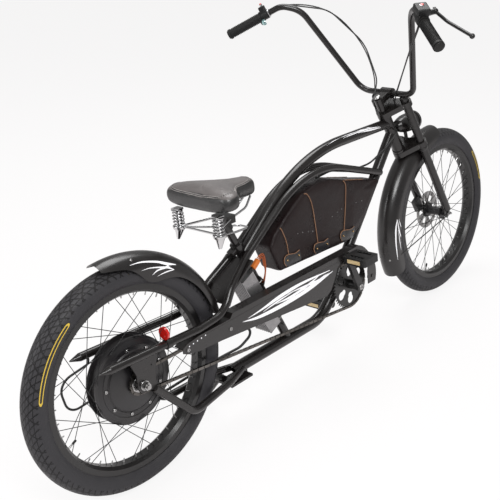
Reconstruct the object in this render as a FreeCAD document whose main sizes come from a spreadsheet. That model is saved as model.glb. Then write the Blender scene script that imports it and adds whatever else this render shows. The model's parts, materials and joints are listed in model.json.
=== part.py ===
"""Electric chopper bicycle, built as an assembly of separate pieces and stored leaning on its side stand.

Every piece is modelled on the upright machine: +X forward, +Y to the rider's left, +Z up, with the rear
tyre touching the floor at the origin. The whole machine is then leaned to its left about the floor line.
"""
import FreeCAD, Part
import math
import os

import Sketcher
from FreeCAD import Placement, Rotation, Vector

SIZES = [
    ("lean_angle", 7.9, "degrees the parked machine leans to its left"),
    ("origin_left", 141.84, "how far left of the rear tyre's footprint the parked machine's middle lies"),
    ("wheelbase", 1683.0, "between the two axles"),
    ("seat_gap", 0.3, "gap between seated pieces"),
    ("running_gap", 0.05, "radial clearance of a turning shaft"),
    ("tyre_radius", 352.0, "outside radius of both tyres"),
    ("tyre_section", 37.5, "radius of the tyre's round section"),
    ("tyre_wall", 5.0, "thickness of the tyre casing"),
    ("rim_flange_share", 1.7067, "rim flange below the tread, in radii of the tyre section"),
    ("rim_seat_drop", 12.0, "bead seat below the edge of the flange"),
    ("rim_depth", 26.0, "rim's inside below the edge of the flange"),
    ("rim_half", 25.0, "half the rim width"),
    ("rim_floor_half", 14.0, "half the width of the rim's inner face"),
    ("rim_lip", 3.0, "thickness of the rim flange"),
    ("bead_thick", 5.5, "thickness of the tyre bead"),
    ("spoke_radius", 1.1, "radius of a spoke"),
    ("spoke_stagger", 2.4, "side offset of a spoke from its flange"),
    ("spoke_count", 36.0, "spokes in each wheel"),
    ("hub_axle_radius", 5.0, "front axle"),
    ("hub_barrel", 17.0, "radius of the front hub barrel"),
    ("hub_flange", 30.0, "radius of the front hub flanges"),
    ("hub_flange_half", 34.0, "half the distance between the front flanges"),
    ("hub_half", 46.0, "half the length of the front hub shell"),
    ("hub_flange_thick", 3.0, "thickness of a front flange"),
    ("rotor_radius", 80.0, "front brake disc"),
    ("rotor_thick", 2.0, "front brake disc thickness"),
    ("rotor_side", 41.0, "side position of the brake disc"),
    ("motor_flange", 135.0, "radius of the hub motor's spoke flanges"),
    ("motor_drum", 126.0, "radius of the motor drum"),
    ("motor_cover", 112.0, "radius of the raised side covers"),
    ("motor_step", 92.0, "radius where the covers start to slope"),
    ("motor_nose", 34.0, "radius of the cover's centre boss"),
    ("motor_flange_half", 20.0, "half the distance between the motor flanges"),
    ("motor_flange_thick", 4.0, "thickness of a motor flange"),
    ("motor_cover_half", 30.0, "half width over the side covers"),
    ("motor_nose_half", 40.0, "half width over the centre bosses"),
    ("motor_axle_radius", 7.0, "rear axle"),
    ("dropout_inside", 67.5, "half the distance between the rear dropouts"),
    ("dropout_thick", 7.0, "thickness of a rear dropout"),
    ("eyelet_radius", 2.65, "hole of each rack eyelet, for a 5 mm screw"),
    ("rear_axle_half", 96.0, "half the length of the rear axle"),
    ("chain_side", 50.0, "side distance of the chain line"),
    ("chain_pitch", 12.7, "chain pitch"),
    ("chainring_teeth", 44.0, "teeth on the chainring"),
    ("sprocket_teeth", 16.0, "teeth on the rear sprocket"),
    ("tooth_thick", 2.6, "thickness of the toothed discs"),
    ("tooth_height", 4.0, "tooth tips above the pitch circle"),
    ("tooth_root", 4.2, "tooth roots below the pitch circle"),
    ("link_height", 8.5, "height of a chain link plate"),
    ("bottom_x", 999.0, "crank axle ahead of the rear axle"),
    ("bottom_z", 282.0, "crank axle above the floor"),
    ("bottom_shell_radius", 23.0, "bottom bracket shell"),
    ("bottom_shell_half", 36.0, "half the length of the bottom bracket shell"),
    ("spindle_radius", 10.0, "crank spindle"),
    ("crank_length", 160.0, "crank axle to pedal axle"),
    ("crank_angle", 114.0, "degrees of the right crank above straight ahead"),
    ("crank_inside", 90.0, "side distance of a crank arm's inner face"),
    ("crank_thick", 14.0, "thickness of a crank arm"),
    ("crank_boss", 19.0, "radius of the crank's centre boss"),
    ("crank_eye", 13.0, "radius of the crank's pedal eye"),
    ("pedal_axle_radius", 6.0, "pedal axle"),
    ("pedal_length", 96.0, "pedal along its axle"),
    ("pedal_width", 84.0, "pedal across its axle"),
    ("pedal_height", 26.0, "pedal thickness"),
    ("pedal_gap", 6.0, "crank arm to pedal body"),
    ("head_angle", 61.0, "degrees of the steering axis above the floor"),
    ("fork_offset", 64.0, "axle and fork legs ahead of the steering axis"),
    ("fork_length", 602.5, "axle below the top crown along the steering axis"),
    ("leg_side", 63.0, "side distance of a fork leg"),
    ("leg_radius", 16.0, "fork leg"),
    ("crown_drop", 201.0, "lower crown below the upper crown"),
    ("crown_thick", 22.0, "thickness of a fork crown"),
    ("steerer_radius", 14.3, "steerer tube"),
    ("head_radius", 22.0, "head tube"),
    ("bar_radius", 11.1, "handlebar tube"),
    ("grip_radius", 16.5, "handlebar grip"),
    ("grip_length", 140.0, "handlebar grip"),
    ("bar_turn", 3.84, "degrees the handlebar sits turned in its stem, left grip forward"),
    ("down_radius", 20.0, "down tube"),
    ("top_radius", 19.0, "top tube"),
    ("stay_radius", 12.7, "twin cantilever tubes and seat stays"),
    ("keel_radius", 21.0, "keel tube"),
    ("chainstay_radius", 12.5, "chainstays"),
    ("seat_tube_radius", 16.0, "seat tube"),
    ("seat_post_radius", 13.0, "seat post"),
    ("seat_angle", 64.8, "degrees of the seat tube above the floor"),
    ("seat_foot_x", 692.0, "seat tube axis where it meets the keel axis"),
    ("keel_z", 178.0, "keel axis above the floor"),
    ("seat_tube_top", 583.0, "top of the seat tube above the floor"),
    ("guard_top", 149.5, "top of the chain guard above the crank axle"),
    ("guard_side", 82.0, "side distance of the guard's outer face"),
    ("guard_roof", 44.0, "side distance of the guard roof's inner edge"),
    ("guard_sheet", 2.5, "thickness of the guard"),
    ("rear_fender_gap", 28.0, "rear fender's crown above the tread"),
    ("front_fender_gap", 34.0, "front fender's crown above the tread"),
    ("fender_half", 45.5, "half the width of the fenders"),
    ("fender_sheet", 1.6, "thickness of the fenders"),
    ("fender_skirt", 66.0, "lowest skirt below the tread"),
    ("bag_half", 47.0, "half the thickness of the battery bag"),
    ("saddle_half", 145.0, "half the width of the saddle"),
    ("controller_deep", 56.0, "motor controller, away from the seat tube"),
    ("controller_wide", 72.0, "motor controller, side to side"),
    ("controller_long", 250.0, "motor controller, along the seat tube"),
    ("lamp_radius", 36.0, "headlight shell"),
    ("lamp_length", 125.0, "headlight from tail to lens"),
    ("caliper_length", 62.0, "front brake caliper along the fork leg"),
    ("bar_cable_radius", 2.5, "cables at the handlebar"),
    ("motor_cable_radius", 4.5, "wrapped motor cable"),
]

doc = FreeCAD.newDocument("ChopperBicycle")
sheet = doc.addObject("Spreadsheet::Sheet", "Sizes")
for row, (alias, amount, note) in enumerate(SIZES, start=1):
    sheet.set("A%d" % row, alias)
    sheet.set("B%d" % row, str(amount))
    sheet.setAlias("B%d" % row, alias)
    sheet.set("C%d" % row, note)
doc.recompute()


class Dim:
    """A size that carries its value and the sheet expression that gives it."""

    def __init__(self, value, text):
        self.value = value
        self.text = text

    def __add__(self, other):
        return Dim(self.value + plain(other), "(%s + %s)" % (self.text, words(other)))

    def __sub__(self, other):
        return Dim(self.value - plain(other), "(%s - %s)" % (self.text, words(other)))

    def __mul__(self, other):
        return Dim(self.value * plain(other), "(%s * %s)" % (self.text, words(other)))

    def __truediv__(self, other):
        return Dim(self.value / plain(other), "(%s / %s)" % (self.text, words(other)))

    def __neg__(self):
        return Dim(-self.value, "(-%s)" % self.text)


def plain(amount):
    """The number behind a size or a bare number."""
    return amount.value if isinstance(amount, Dim) else float(amount)


def words(amount):
    """The expression behind a size or a bare number."""
    return amount.text if isinstance(amount, Dim) else repr(float(amount))


def dim(alias):
    """A size of the sheet, for expressions."""
    return Dim(float(sheet.get(alias)), "Sizes." + alias)


def num(alias):
    """A size of the sheet, as a number."""
    return float(sheet.get(alias))


NODES = []
LEAN = math.radians(num("lean_angle"))
TYRE_CORE = num("tyre_radius") - num("tyre_section")
LEANED = Rotation(Vector(1, 0, 0), -num("lean_angle"))
# The leaned tyres stand on their shoulders, and the origin lies on the floor below the middle of the machine.
PARKED = Placement(
    Vector(
        -num("wheelbase") / 2,
        -num("tyre_section") * math.sin(LEAN) - num("origin_left"),
        num("tyre_section") * (1 - math.cos(LEAN)),
    ),
    LEANED,
)
BIG = 2000.0
SIDEWAYS = Vector(0, 1, 0)


def finish(item, label, place=None):
    """Names a finished piece, parks it on the leaned machine and lists it for export."""
    item.Label = label
    local = place if place is not None else Placement()
    item.Placement = PARKED.multiply(local)
    NODES.append(item)
    return item


def feature(label, shape):
    """A piece whose form has no single feature of its own."""
    item = doc.addObject("Part::Feature", label)
    item.Shape = shape
    return finish(item, label, shape.Placement)


def origin_plane(body, role):
    """One of the body's own origin planes."""
    return [item for item in body.Origin.OriginFeatures if item.Role == role][0]


def new_sketch(body, plane, name):
    """A sketch on one of the body's own origin planes."""
    sketch = body.newObject("Sketcher::SketchObject", body.Name + name)
    sketch.AttachmentSupport = [(origin_plane(body, plane), "")]
    sketch.MapMode = "FlatFace"
    return sketch


def hold(sketch, kind, element, spot, amount):
    """Fixes one coordinate of a sketch point to a size."""
    value = plain(amount)
    if abs(value) < 1e-9:
        axis = -2 if kind == "DistanceX" else -1
        sketch.addConstraint(Sketcher.Constraint("PointOnObject", element, spot, axis))
        return
    text = words(amount)
    if value > 0:
        index = sketch.addConstraint(Sketcher.Constraint(kind, -1, 1, element, spot, value))
    else:
        index = sketch.addConstraint(Sketcher.Constraint(kind, element, spot, -1, 1, -value))
        text = "-%s" % text
    if isinstance(amount, Dim):
        sketch.setExpression("Constraints[%d]" % index, text)


def draw_outline(sketch, corners):
    """A closed outline of straight lines whose corners follow the sizes."""
    first = sketch.GeometryCount
    count = len(corners)
    points = [Vector(plain(a), plain(b), 0) for a, b in corners]
    for index in range(count):
        sketch.addGeometry(Part.LineSegment(points[index], points[(index + 1) % count]), False)
    for index in range(count):
        sketch.addConstraint(
            Sketcher.Constraint("Coincident", first + index, 2, first + (index + 1) % count, 1)
        )
    for index, (a, b) in enumerate(corners):
        hold(sketch, "DistanceX", first + index, 1, a)
        hold(sketch, "DistanceY", first + index, 1, b)


def draw_circle(sketch, across, along, radius):
    """A circle held by its centre and radius."""
    circle = Part.Circle(Vector(plain(across), plain(along), 0), Vector(0, 0, 1), plain(radius))
    index = sketch.addGeometry(circle, False)
    hold(sketch, "DistanceX", index, 3, across)
    hold(sketch, "DistanceY", index, 3, along)
    spot = sketch.addConstraint(Sketcher.Constraint("Radius", index, plain(radius)))
    if isinstance(radius, Dim):
        sketch.setExpression("Constraints[%d]" % spot, radius.text)


def new_body(label):
    """An empty body for one piece."""
    return doc.addObject("PartDesign::Body", label + "_body")


def turned_body(label, corners, place=None):
    """A body turned about the side-to-side axis from (side, radius) corners."""
    body = new_body(label)
    sketch = new_sketch(body, "YZ_Plane", "Outline")
    draw_outline(sketch, corners)
    turned = body.newObject("PartDesign::Revolution", body.Name + "Turned")
    turned.Profile = sketch
    turned.ReferenceAxis = (sketch, ["H_Axis"])
    turned.Angle = 360.0
    sketch.Visibility = False
    return finish(body, label, place)


def pad_between(body, sketch, thickness):
    """A pad centred on its sketch."""
    pad = body.newObject("PartDesign::Pad", body.Name + "Pad")
    pad.Profile = sketch
    pad.Midplane = True
    pad.Length = plain(thickness)
    if isinstance(thickness, Dim):
        pad.setExpression("Length", thickness.text)
    sketch.Visibility = False
    return pad


def cylinder(start, direction, radius, length):
    """A plain round bar."""
    return Part.makeCylinder(radius, length, start, direction)


def rod(start, end, radius):
    """A plain round bar between two points."""
    return cylinder(start, end - start, radius, (end - start).Length)


def block(low, high):
    """A box between two corners."""
    return Part.makeBox(high.x - low.x, high.y - low.y, high.z - low.z, low)


def side_prism(corners, low_y, high_y):
    """A plate from a side-view outline, between two side positions."""
    points = [Vector(x, low_y, z) for x, z in corners]
    face = Part.Face(Part.makePolygon(points + [points[0]]))
    return face.extrude(Vector(0, high_y - low_y, 0))


def path_wire(points, bends):
    """Straight runs joined by arcs that are tangent to them."""
    edges = []
    spot = points[0]
    for index in range(1, len(points) - 1):
        corner = points[index]
        back = (points[index - 1] - corner).normalize()
        ahead = (points[index + 1] - corner).normalize()
        half = back.getAngle(ahead) / 2
        reach = bends[index - 1] / math.tan(half)
        enter = corner + back * reach
        leave = corner + ahead * reach
        middle = (back + ahead).normalize()
        centre = corner + middle * (bends[index - 1] / math.sin(half))
        crest = centre - middle * bends[index - 1]
        edges.append(Part.LineSegment(spot, enter).toShape())
        edges.append(Part.Arc(enter, crest, leave).toShape())
        spot = leave
    edges.append(Part.LineSegment(spot, points[-1]).toShape())
    return Part.Wire(edges)


def bent_rod(points, bends, radius):
    """A round bar along straight runs and arcs."""
    spine = path_wire(points, bends)
    direction = points[1] - points[0]
    profile = Part.Wire(Part.Circle(points[0], direction, radius).toShape())
    solid = spine.makePipeShell([profile], True, True)
    expected = spine.Length * math.pi * radius ** 2
    if abs(solid.Volume - expected) > 0.02 * expected:
        raise ValueError("a bent tube lost its section: %.0f against %.0f" % (solid.Volume, expected))
    return solid


def mirrored(points):
    """The same points on the other side of the machine."""
    return [Vector(p.x, -p.y, p.z) for p in points]


def solids_only(shape):
    """The solids of a shape, without loose faces."""
    solids = shape.Solids
    return solids[0] if len(solids) == 1 else Part.makeCompound(solids)


GAP = num("seat_gap")
RUN = num("running_gap")
REAR_HUB = Vector(0, 0, num("tyre_radius"))
FRONT_HUB = Vector(num("wheelbase"), 0, num("tyre_radius"))
BOTTOM = Vector(num("bottom_x"), 0, num("bottom_z"))
HEAD_TILT = math.radians(num("head_angle"))
HEAD_DOWN = Vector(math.cos(HEAD_TILT), 0, -math.sin(HEAD_TILT))
HEAD_AHEAD = Vector(math.sin(HEAD_TILT), 0, math.cos(HEAD_TILT))
HEAD_TOP = FRONT_HUB - HEAD_AHEAD * num("fork_offset") - HEAD_DOWN * num("fork_length")
SEAT_TILT = math.radians(num("seat_angle"))
SEAT_UP = Vector(-math.cos(SEAT_TILT), 0, math.sin(SEAT_TILT))
SEAT_FOOT = Vector(num("seat_foot_x"), 0, num("keel_z"))


def on_head(down, ahead=0.0, side=0.0):
    """A point measured along the steering axis, ahead of it and to its left."""
    return HEAD_TOP + HEAD_DOWN * down + HEAD_AHEAD * ahead + Vector(0, side, 0)


def on_seat(height):
    """The point of the seat tube axis at a height above the floor."""
    return SEAT_FOOT + SEAT_UP * ((height - SEAT_FOOT.z) / SEAT_UP.z)


# The drawing's own wheelbase; places ahead of the stand move with the real one.
DRAWN_BASE = 1683.0
STAND_LINE = 400.0
STRETCH = (num("wheelbase") - STAND_LINE) / (DRAWN_BASE - STAND_LINE)


def along(x):
    """A place along the machine: fixed to the rear wheel behind the stand, stretched with the wheelbase ahead."""
    return x if x <= STAND_LINE else STAND_LINE + (x - STAND_LINE) * STRETCH


def near_bottom(ahead, up):
    """A side-view point measured from the crank axle."""
    return (BOTTOM.x + ahead, BOTTOM.z + up)


# Wheels: tyres, rims and spokes are the same front and rear.
RIM_FLANGE = dim("tyre_radius") - dim("tyre_section") * dim("rim_flange_share")
RIM_SEAT = RIM_FLANGE - dim("rim_seat_drop")
RIM_INSIDE = RIM_FLANGE - dim("rim_depth")


def tyre(label, hub):
    """A tyre casing, round outside and open towards the rim, with its two beads."""
    section = dim("tyre_section")
    core = dim("tyre_radius") - section
    shoulder = RIM_FLANGE + dim("seat_gap")
    foot = RIM_SEAT + dim("seat_gap")
    bead_out = dim("rim_half") - dim("rim_lip") - dim("seat_gap")
    bead_in = bead_out - dim("bead_thick")
    body = new_body(label)
    sketch = new_sketch(body, "YZ_Plane", "Section")
    outer = plain(section)
    inner = outer - num("tyre_wall")
    drop = plain(core) - plain(shoulder)
    outer_half = math.asin(drop / outer)
    inner_half = math.asin(drop / inner)
    centre = Vector(0, plain(core), 0)
    axis = Vector(0, 0, 1)
    outside = Part.ArcOfCircle(Part.Circle(centre, axis, outer), -outer_half, math.pi + outer_half)
    inside = Part.ArcOfCircle(Part.Circle(centre, axis, inner), -inner_half, math.pi + inner_half)
    sketch.addGeometry(outside, False)
    sketch.addGeometry(inside, False)
    sketch.addConstraint(Sketcher.Constraint("PointOnObject", 0, 3, -2))
    sketch.addConstraint(Sketcher.Constraint("Coincident", 0, 3, 1, 3))
    hold(sketch, "DistanceY", 0, 3, core)
    for element, radius in ((0, section), (1, section - dim("tyre_wall"))):
        index = sketch.addConstraint(Sketcher.Constraint("Radius", element, plain(radius)))
        sketch.setExpression("Constraints[%d]" % index, radius.text)
        hold(sketch, "DistanceY", element, 1, shoulder)
        hold(sketch, "DistanceY", element, 2, shoulder)
    for sign, spot in ((1, 1), (-1, 2)):
        out_x = outer * math.cos(outer_half) * sign
        in_x = inner * math.cos(inner_half) * sign
        chain = [
            Vector(out_x, plain(shoulder), 0),
            Vector(plain(bead_out) * sign, plain(shoulder), 0),
            Vector(plain(bead_out) * sign, plain(foot), 0),
            Vector(plain(bead_in) * sign, plain(foot), 0),
            Vector(in_x, plain(shoulder), 0),
        ]
        base = sketch.GeometryCount
        for step in range(4):
            sketch.addGeometry(Part.LineSegment(chain[step], chain[step + 1]), False)
        for step in range(3):
            sketch.addConstraint(Sketcher.Constraint("Coincident", base + step, 2, base + step + 1, 1))
        sketch.addConstraint(Sketcher.Constraint("Coincident", base, 1, 0, spot))
        sketch.addConstraint(Sketcher.Constraint("Coincident", base + 3, 2, 1, spot))
        hold(sketch, "DistanceX", base + 1, 1, bead_out if sign > 0 else -bead_out)
        hold(sketch, "DistanceY", base + 1, 1, shoulder)
        hold(sketch, "DistanceX", base + 2, 1, bead_out if sign > 0 else -bead_out)
        hold(sketch, "DistanceY", base + 2, 1, foot)
        hold(sketch, "DistanceX", base + 3, 1, bead_in if sign > 0 else -bead_in)
        hold(sketch, "DistanceY", base + 3, 1, foot)
    turned = body.newObject("PartDesign::Revolution", body.Name + "Turned")
    turned.Profile = sketch
    turned.ReferenceAxis = (sketch, ["H_Axis"])
    turned.Angle = 360.0
    return finish(body, label, Placement(hub, Rotation()))


def rim(label, hub):
    """A wide box rim with two flanges that hold the tyre beads."""
    half = dim("rim_half")
    lip = half - dim("rim_lip")
    shelf = RIM_SEAT
    low = RIM_SEAT - dim("rim_lip") * 2
    corners = [
        (-half, RIM_FLANGE),
        (-lip, RIM_FLANGE),
        (-lip, shelf),
        (lip, shelf),
        (lip, RIM_FLANGE),
        (half, RIM_FLANGE),
        (half, low),
        (dim("rim_floor_half"), RIM_INSIDE),
        (-dim("rim_floor_half"), RIM_INSIDE),
        (-half, low),
    ]
    return turned_body(label, corners, Placement(hub, Rotation()))


def spokes(label, hub, flange_radius, flange_half, flange_thick, lift):
    """Crossed wire spokes from both hub flanges to the rim, leading and trailing ones in turn."""
    count = int(num("spoke_count"))
    per_side = count // 2
    lead = math.radians(3.0 * 360.0 / per_side)
    reach = plain(RIM_INSIDE) - GAP - 0.8
    hole = flange_radius - 4.0
    radius = num("spoke_radius")
    wires = []
    for side in (-1, 1):
        for index in range(per_side):
            rim_angle = 2 * math.pi * (index + (0.5 if side > 0 else 0.0)) / per_side
            turn = 1 if index % 2 else -1
            hub_angle = rim_angle + turn * lead
            clear = flange_thick / 2 + radius + GAP
            face = side * (flange_half + turn * clear + (lift if turn > 0 else 0.0))
            start = hub + Vector(hole * math.cos(hub_angle), face, hole * math.sin(hub_angle))
            rim_side = side * 6.0 + turn * num("spoke_stagger") * side
            end = hub + Vector(reach * math.cos(rim_angle), rim_side, reach * math.sin(rim_angle))
            wires.append(rod(start, end, radius))
    return feature(label, Part.makeCompound(wires))


def wheel_parts():
    """The parts that both wheels share."""
    for name, hub in (("front", FRONT_HUB), ("rear", REAR_HUB)):
        tyre(name + "_tyre", hub)
        rim(name + "_rim", hub)
    sizes = [num(alias) for alias in ("hub_flange", "hub_flange_half", "hub_flange_thick")]
    spokes("front_spokes", FRONT_HUB, *sizes, 1.1)
    sizes = [num(alias) for alias in ("motor_flange", "motor_flange_half", "motor_flange_thick")]
    spokes("rear_spokes", REAR_HUB, *sizes, 2.9)


def front_hub():
    """The front hub shell, bored for its fixed axle."""
    bore = dim("hub_axle_radius") + dim("running_gap")
    half = dim("hub_half")
    out = dim("hub_flange_half") + dim("hub_flange_thick") / 2
    inner = dim("hub_flange_half") - dim("hub_flange_thick") / 2
    boss = dim("hub_barrel") - 3.0
    corners = [
        (-half, bore),
        (half, bore),
        (half, boss),
        (out, boss),
        (out, dim("hub_flange")),
        (inner, dim("hub_flange")),
        (inner, dim("hub_barrel")),
        (-inner, dim("hub_barrel")),
        (-inner, dim("hub_flange")),
        (-out, dim("hub_flange")),
        (-out, boss),
        (-half, boss),
    ]
    turned_body("front_hub", corners, Placement(FRONT_HUB, Rotation()))


def front_rotor():
    """The front brake disc with its ring of slots."""
    body = new_body("front_rotor")
    sketch = new_sketch(body, "XZ_Plane", "Outline")
    draw_circle(sketch, 0, 0, dim("rotor_radius"))
    draw_circle(sketch, 0, 0, dim("hub_barrel") - 3.0 + GAP)
    pad_between(body, sketch, dim("rotor_thick"))
    slot = new_sketch(body, "XZ_Plane", "Slot")
    width = 11.0
    inner = dim("rotor_radius") * 0.42
    outer = dim("rotor_radius") * 0.76
    draw_outline(slot, [(inner, -width), (outer, -width), (outer, width), (inner, width)])
    pocket = body.newObject("PartDesign::Pocket", "RotorSlot")
    pocket.Profile = slot
    pocket.Midplane = True
    pocket.Length = 10.0
    pattern = body.newObject("PartDesign::PolarPattern", "RotorSlots")
    pattern.Originals = [pocket]
    pattern.Axis = (slot, ["N_Axis"])
    pattern.Angle = 360.0
    body.Tip = pattern
    pattern.Occurrences = 6
    slot.Visibility = False
    finish(body, "front_rotor", Placement(FRONT_HUB + Vector(0, num("rotor_side"), 0), Rotation()))


def hub_motor():
    """The hub motor: a drum with two spoke flanges and stepped, sloping side covers."""
    bore = dim("motor_axle_radius") + dim("running_gap")
    nose = dim("motor_nose_half")
    cover = dim("motor_cover_half")
    flange_out = dim("motor_flange_half") + dim("motor_flange_thick") / 2
    flange_in = dim("motor_flange_half") - dim("motor_flange_thick") / 2
    step = cover - 4.0
    right = [
        (nose, bore),
        (nose, dim("motor_nose")),
        (cover, dim("motor_step")),
        (step, dim("motor_step") + 4.0),
        (step, dim("motor_cover")),
        (flange_out, dim("motor_drum")),
        (flange_out, dim("motor_flange")),
        (flange_in, dim("motor_flange")),
        (flange_in, dim("motor_drum") - 4.0),
    ]
    left = [(-side, radius) for side, radius in reversed(right)]
    turned_body("hub_motor", right + left, Placement(REAR_HUB, Rotation()))


def toothed_outline(teeth, pitch_radius):
    """The outline of a toothed disc: a straight-flanked tooth for every chain roller."""
    tip = pitch_radius + num("tooth_height")
    root = pitch_radius - num("tooth_root")
    step = 2 * math.pi / teeth
    points = []
    for index in range(teeth):
        angle = index * step
        for share, radius in ((-0.30, root), (-0.10, tip), (0.10, tip), (0.30, root)):
            turn = angle + share * step
            points.append(Vector(radius * math.cos(turn), 0, radius * math.sin(turn)))
    return Part.Face(Part.makePolygon(points + [points[0]]))


def pitch_radius(teeth):
    """The radius of the circle that the chain rollers sit on."""
    return num("chain_pitch") / (2 * math.sin(math.pi / teeth))


RING_PITCH = pitch_radius(num("chainring_teeth"))
SPROCKET_PITCH = pitch_radius(num("sprocket_teeth"))


def sprocket():
    """The rear sprocket and its carrier, screwed to the right side of the motor."""
    side = -num("chain_side")
    thick = num("tooth_thick")
    disc = toothed_outline(int(num("sprocket_teeth")), SPROCKET_PITCH).extrude(Vector(0, thick, 0))
    disc.translate(REAR_HUB + Vector(0, side - thick / 2, 0))
    inner = -num("motor_nose_half") - GAP
    outer = side - 6.0
    carrier = cylinder(REAR_HUB + Vector(0, inner, 0), Vector(0, -1, 0), 24.0, inner - outer)
    bore = cylinder(REAR_HUB + Vector(0, 0, 0), Vector(0, -1, 0), num("motor_axle_radius") + 1.0, 100.0)
    feature("sprocket", solids_only(disc.fuse(carrier).cut(bore)))


def chain():
    """The chain as one fixed loop: outer plates in pairs, and an inner link between each two pairs."""
    ring = BOTTOM
    rear = REAR_HUB
    across = ring - rear
    distance = across.Length
    slope = math.atan2(across.z, across.x)
    lean = math.asin((RING_PITCH - SPROCKET_PITCH) / distance)
    run = distance * math.cos(lean)
    pitch = num("chain_pitch")
    ring_wrap = math.pi + 2 * lean
    rear_wrap = math.pi - 2 * lean
    total = 2 * run + RING_PITCH * ring_wrap + SPROCKET_PITCH * rear_wrap
    links = 2 * round(total / pitch / 2)
    pace = total / links
    top_angle = math.pi / 2 + slope + lean
    low_angle = -math.pi / 2 + slope - lean

    def spot(length):
        """The point of the loop at a length, and whether it lies on a wheel."""
        length = length % total
        if length < run:
            share = length / run
            start = rear + Vector(math.cos(top_angle), 0, math.sin(top_angle)) * SPROCKET_PITCH
            end = ring + Vector(math.cos(top_angle), 0, math.sin(top_angle)) * RING_PITCH
            return start + (end - start) * share, False
        length -= run
        if length < RING_PITCH * ring_wrap:
            turn = top_angle - length / RING_PITCH
            return ring + Vector(math.cos(turn), 0, math.sin(turn)) * RING_PITCH, True
        length -= RING_PITCH * ring_wrap
        if length < run:
            share = length / run
            start = ring + Vector(math.cos(low_angle), 0, math.sin(low_angle)) * RING_PITCH
            end = rear + Vector(math.cos(low_angle), 0, math.sin(low_angle)) * SPROCKET_PITCH
            return start + (end - start) * share, False
        length -= run
        turn = low_angle - length / SPROCKET_PITCH
        return rear + Vector(math.cos(turn), 0, math.sin(turn)) * SPROCKET_PITCH, True

    def link_box(start, end, low_side, high_side):
        """One straight link plate between two pins."""
        over = num("link_height") / 2
        way = end - start
        box = Part.makeBox(
            way.Length + 2 * over, high_side - low_side, 2 * over, Vector(-over, low_side, -over)
        )
        box.rotate(Vector(0, 0, 0), Vector(0, 1, 0), -math.degrees(math.atan2(way.z, way.x)))
        box.translate(start + Vector(0, -num("chain_side"), 0))
        return box

    pieces = []
    for index in range(links):
        start, start_round = spot(index * pace)
        end, end_round = spot((index + 1) * pace)
        near = any(spot((index + step) * pace)[1] for step in range(-3, 5))
        if index % 2:
            sides = ((3.0, 4.2), (-4.2, -3.0))
        elif near:
            sides = ((1.7, 2.7), (-2.7, -1.7))
        else:
            sides = ((-2.7, 2.7),)
        for low_side, high_side in sides:
            pieces.append(link_box(start, end, low_side, high_side))
    feature("chain", Part.makeCompound(pieces))


def chainring():
    """The chainring: a toothed disc with large round-ended windows and a bored centre."""
    thick = num("tooth_thick")
    disc = toothed_outline(int(num("chainring_teeth")), RING_PITCH).extrude(Vector(0, thick, 0))
    disc.translate(Vector(0, -thick / 2, 0))
    windows = []
    for index in range(6):
        angle = math.radians(60.0 * index + 30.0)
        middle = Vector(math.cos(angle), 0, math.sin(angle))
        inner = cylinder(middle * 44.0 - Vector(0, 10, 0), Vector(0, 1, 0), 12.0, 20.0)
        outer = cylinder(middle * 60.0 - Vector(0, 10, 0), Vector(0, 1, 0), 16.5, 20.0)
        windows.append(inner.fuse(outer))
    bore = cylinder(Vector(0, -10, 0), Vector(0, 1, 0), num("spindle_radius") + GAP, 20.0)
    disc = disc.cut(windows + [bore])
    disc.translate(BOTTOM + Vector(0, -num("chain_side"), 0))
    feature("chainring", solids_only(disc))


CRANK_TURN = math.radians(num("crank_angle"))
CRANK_OUT = Vector(math.cos(CRANK_TURN), 0, math.sin(CRANK_TURN))


def crank_arm(label, side, way):
    """A tapered crank arm with a centre boss and a pedal eye that carries the pedal axle."""
    inside = num("crank_inside")
    thick = num("crank_thick")
    low = side * inside if side > 0 else side * (inside + thick)
    centre = BOTTOM + Vector(0, low, 0)
    eye = centre + way * num("crank_length")
    up = Vector(0, 1, 0)
    boss = cylinder(centre, up, num("crank_boss"), thick)
    end = cylinder(eye, up, num("crank_eye"), thick)
    square = Vector(-way.z, 0, way.x)
    wide = 15.0
    narrow = 10.5
    points = [
        centre + square * wide,
        eye + square * narrow,
        eye - square * narrow,
        centre - square * wide,
    ]
    arm = Part.Face(Part.makePolygon(points + [points[0]])).extrude(Vector(0, thick, 0))
    solid = boss.fuse([end, arm])
    reach = num("pedal_gap") + num("pedal_length") - 8.0
    face = BOTTOM + way * num("crank_length") + Vector(0, side * (inside + thick - 1.0), 0)
    axle = cylinder(face, Vector(0, side, 0), num("pedal_axle_radius"), reach + 1.0)
    solid = solid.fuse(axle)
    if side < 0:
        start = -num("chain_side") - num("tooth_thick") / 2 - GAP
        collar = cylinder(BOTTOM + Vector(0, start, 0), Vector(0, -1, 0), 17.0, inside + start + 1.0)
        solid = solid.fuse(collar)
    bore = cylinder(
        BOTTOM - Vector(0, 200, 0), Vector(0, 1, 0), num("spindle_radius") + GAP, 400.0
    )
    feature(label, solids_only(solid.cut(bore)))


def crank_parts():
    """Chainring, both cranks, the spindle and the pedals."""
    chainring()
    crank_arm("crank_right", -1, CRANK_OUT)
    crank_arm("crank_left", 1, -CRANK_OUT)
    reach = num("crank_inside") + num("crank_thick") - 1.0
    spindle = cylinder(BOTTOM - Vector(0, reach, 0), Vector(0, 1, 0), num("spindle_radius"), 2 * reach)
    feature("crank_spindle", spindle)
    for name, side, way in (("right", -1, CRANK_OUT), ("left", 1, -CRANK_OUT)):
        pedal(name, side, way)


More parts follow.
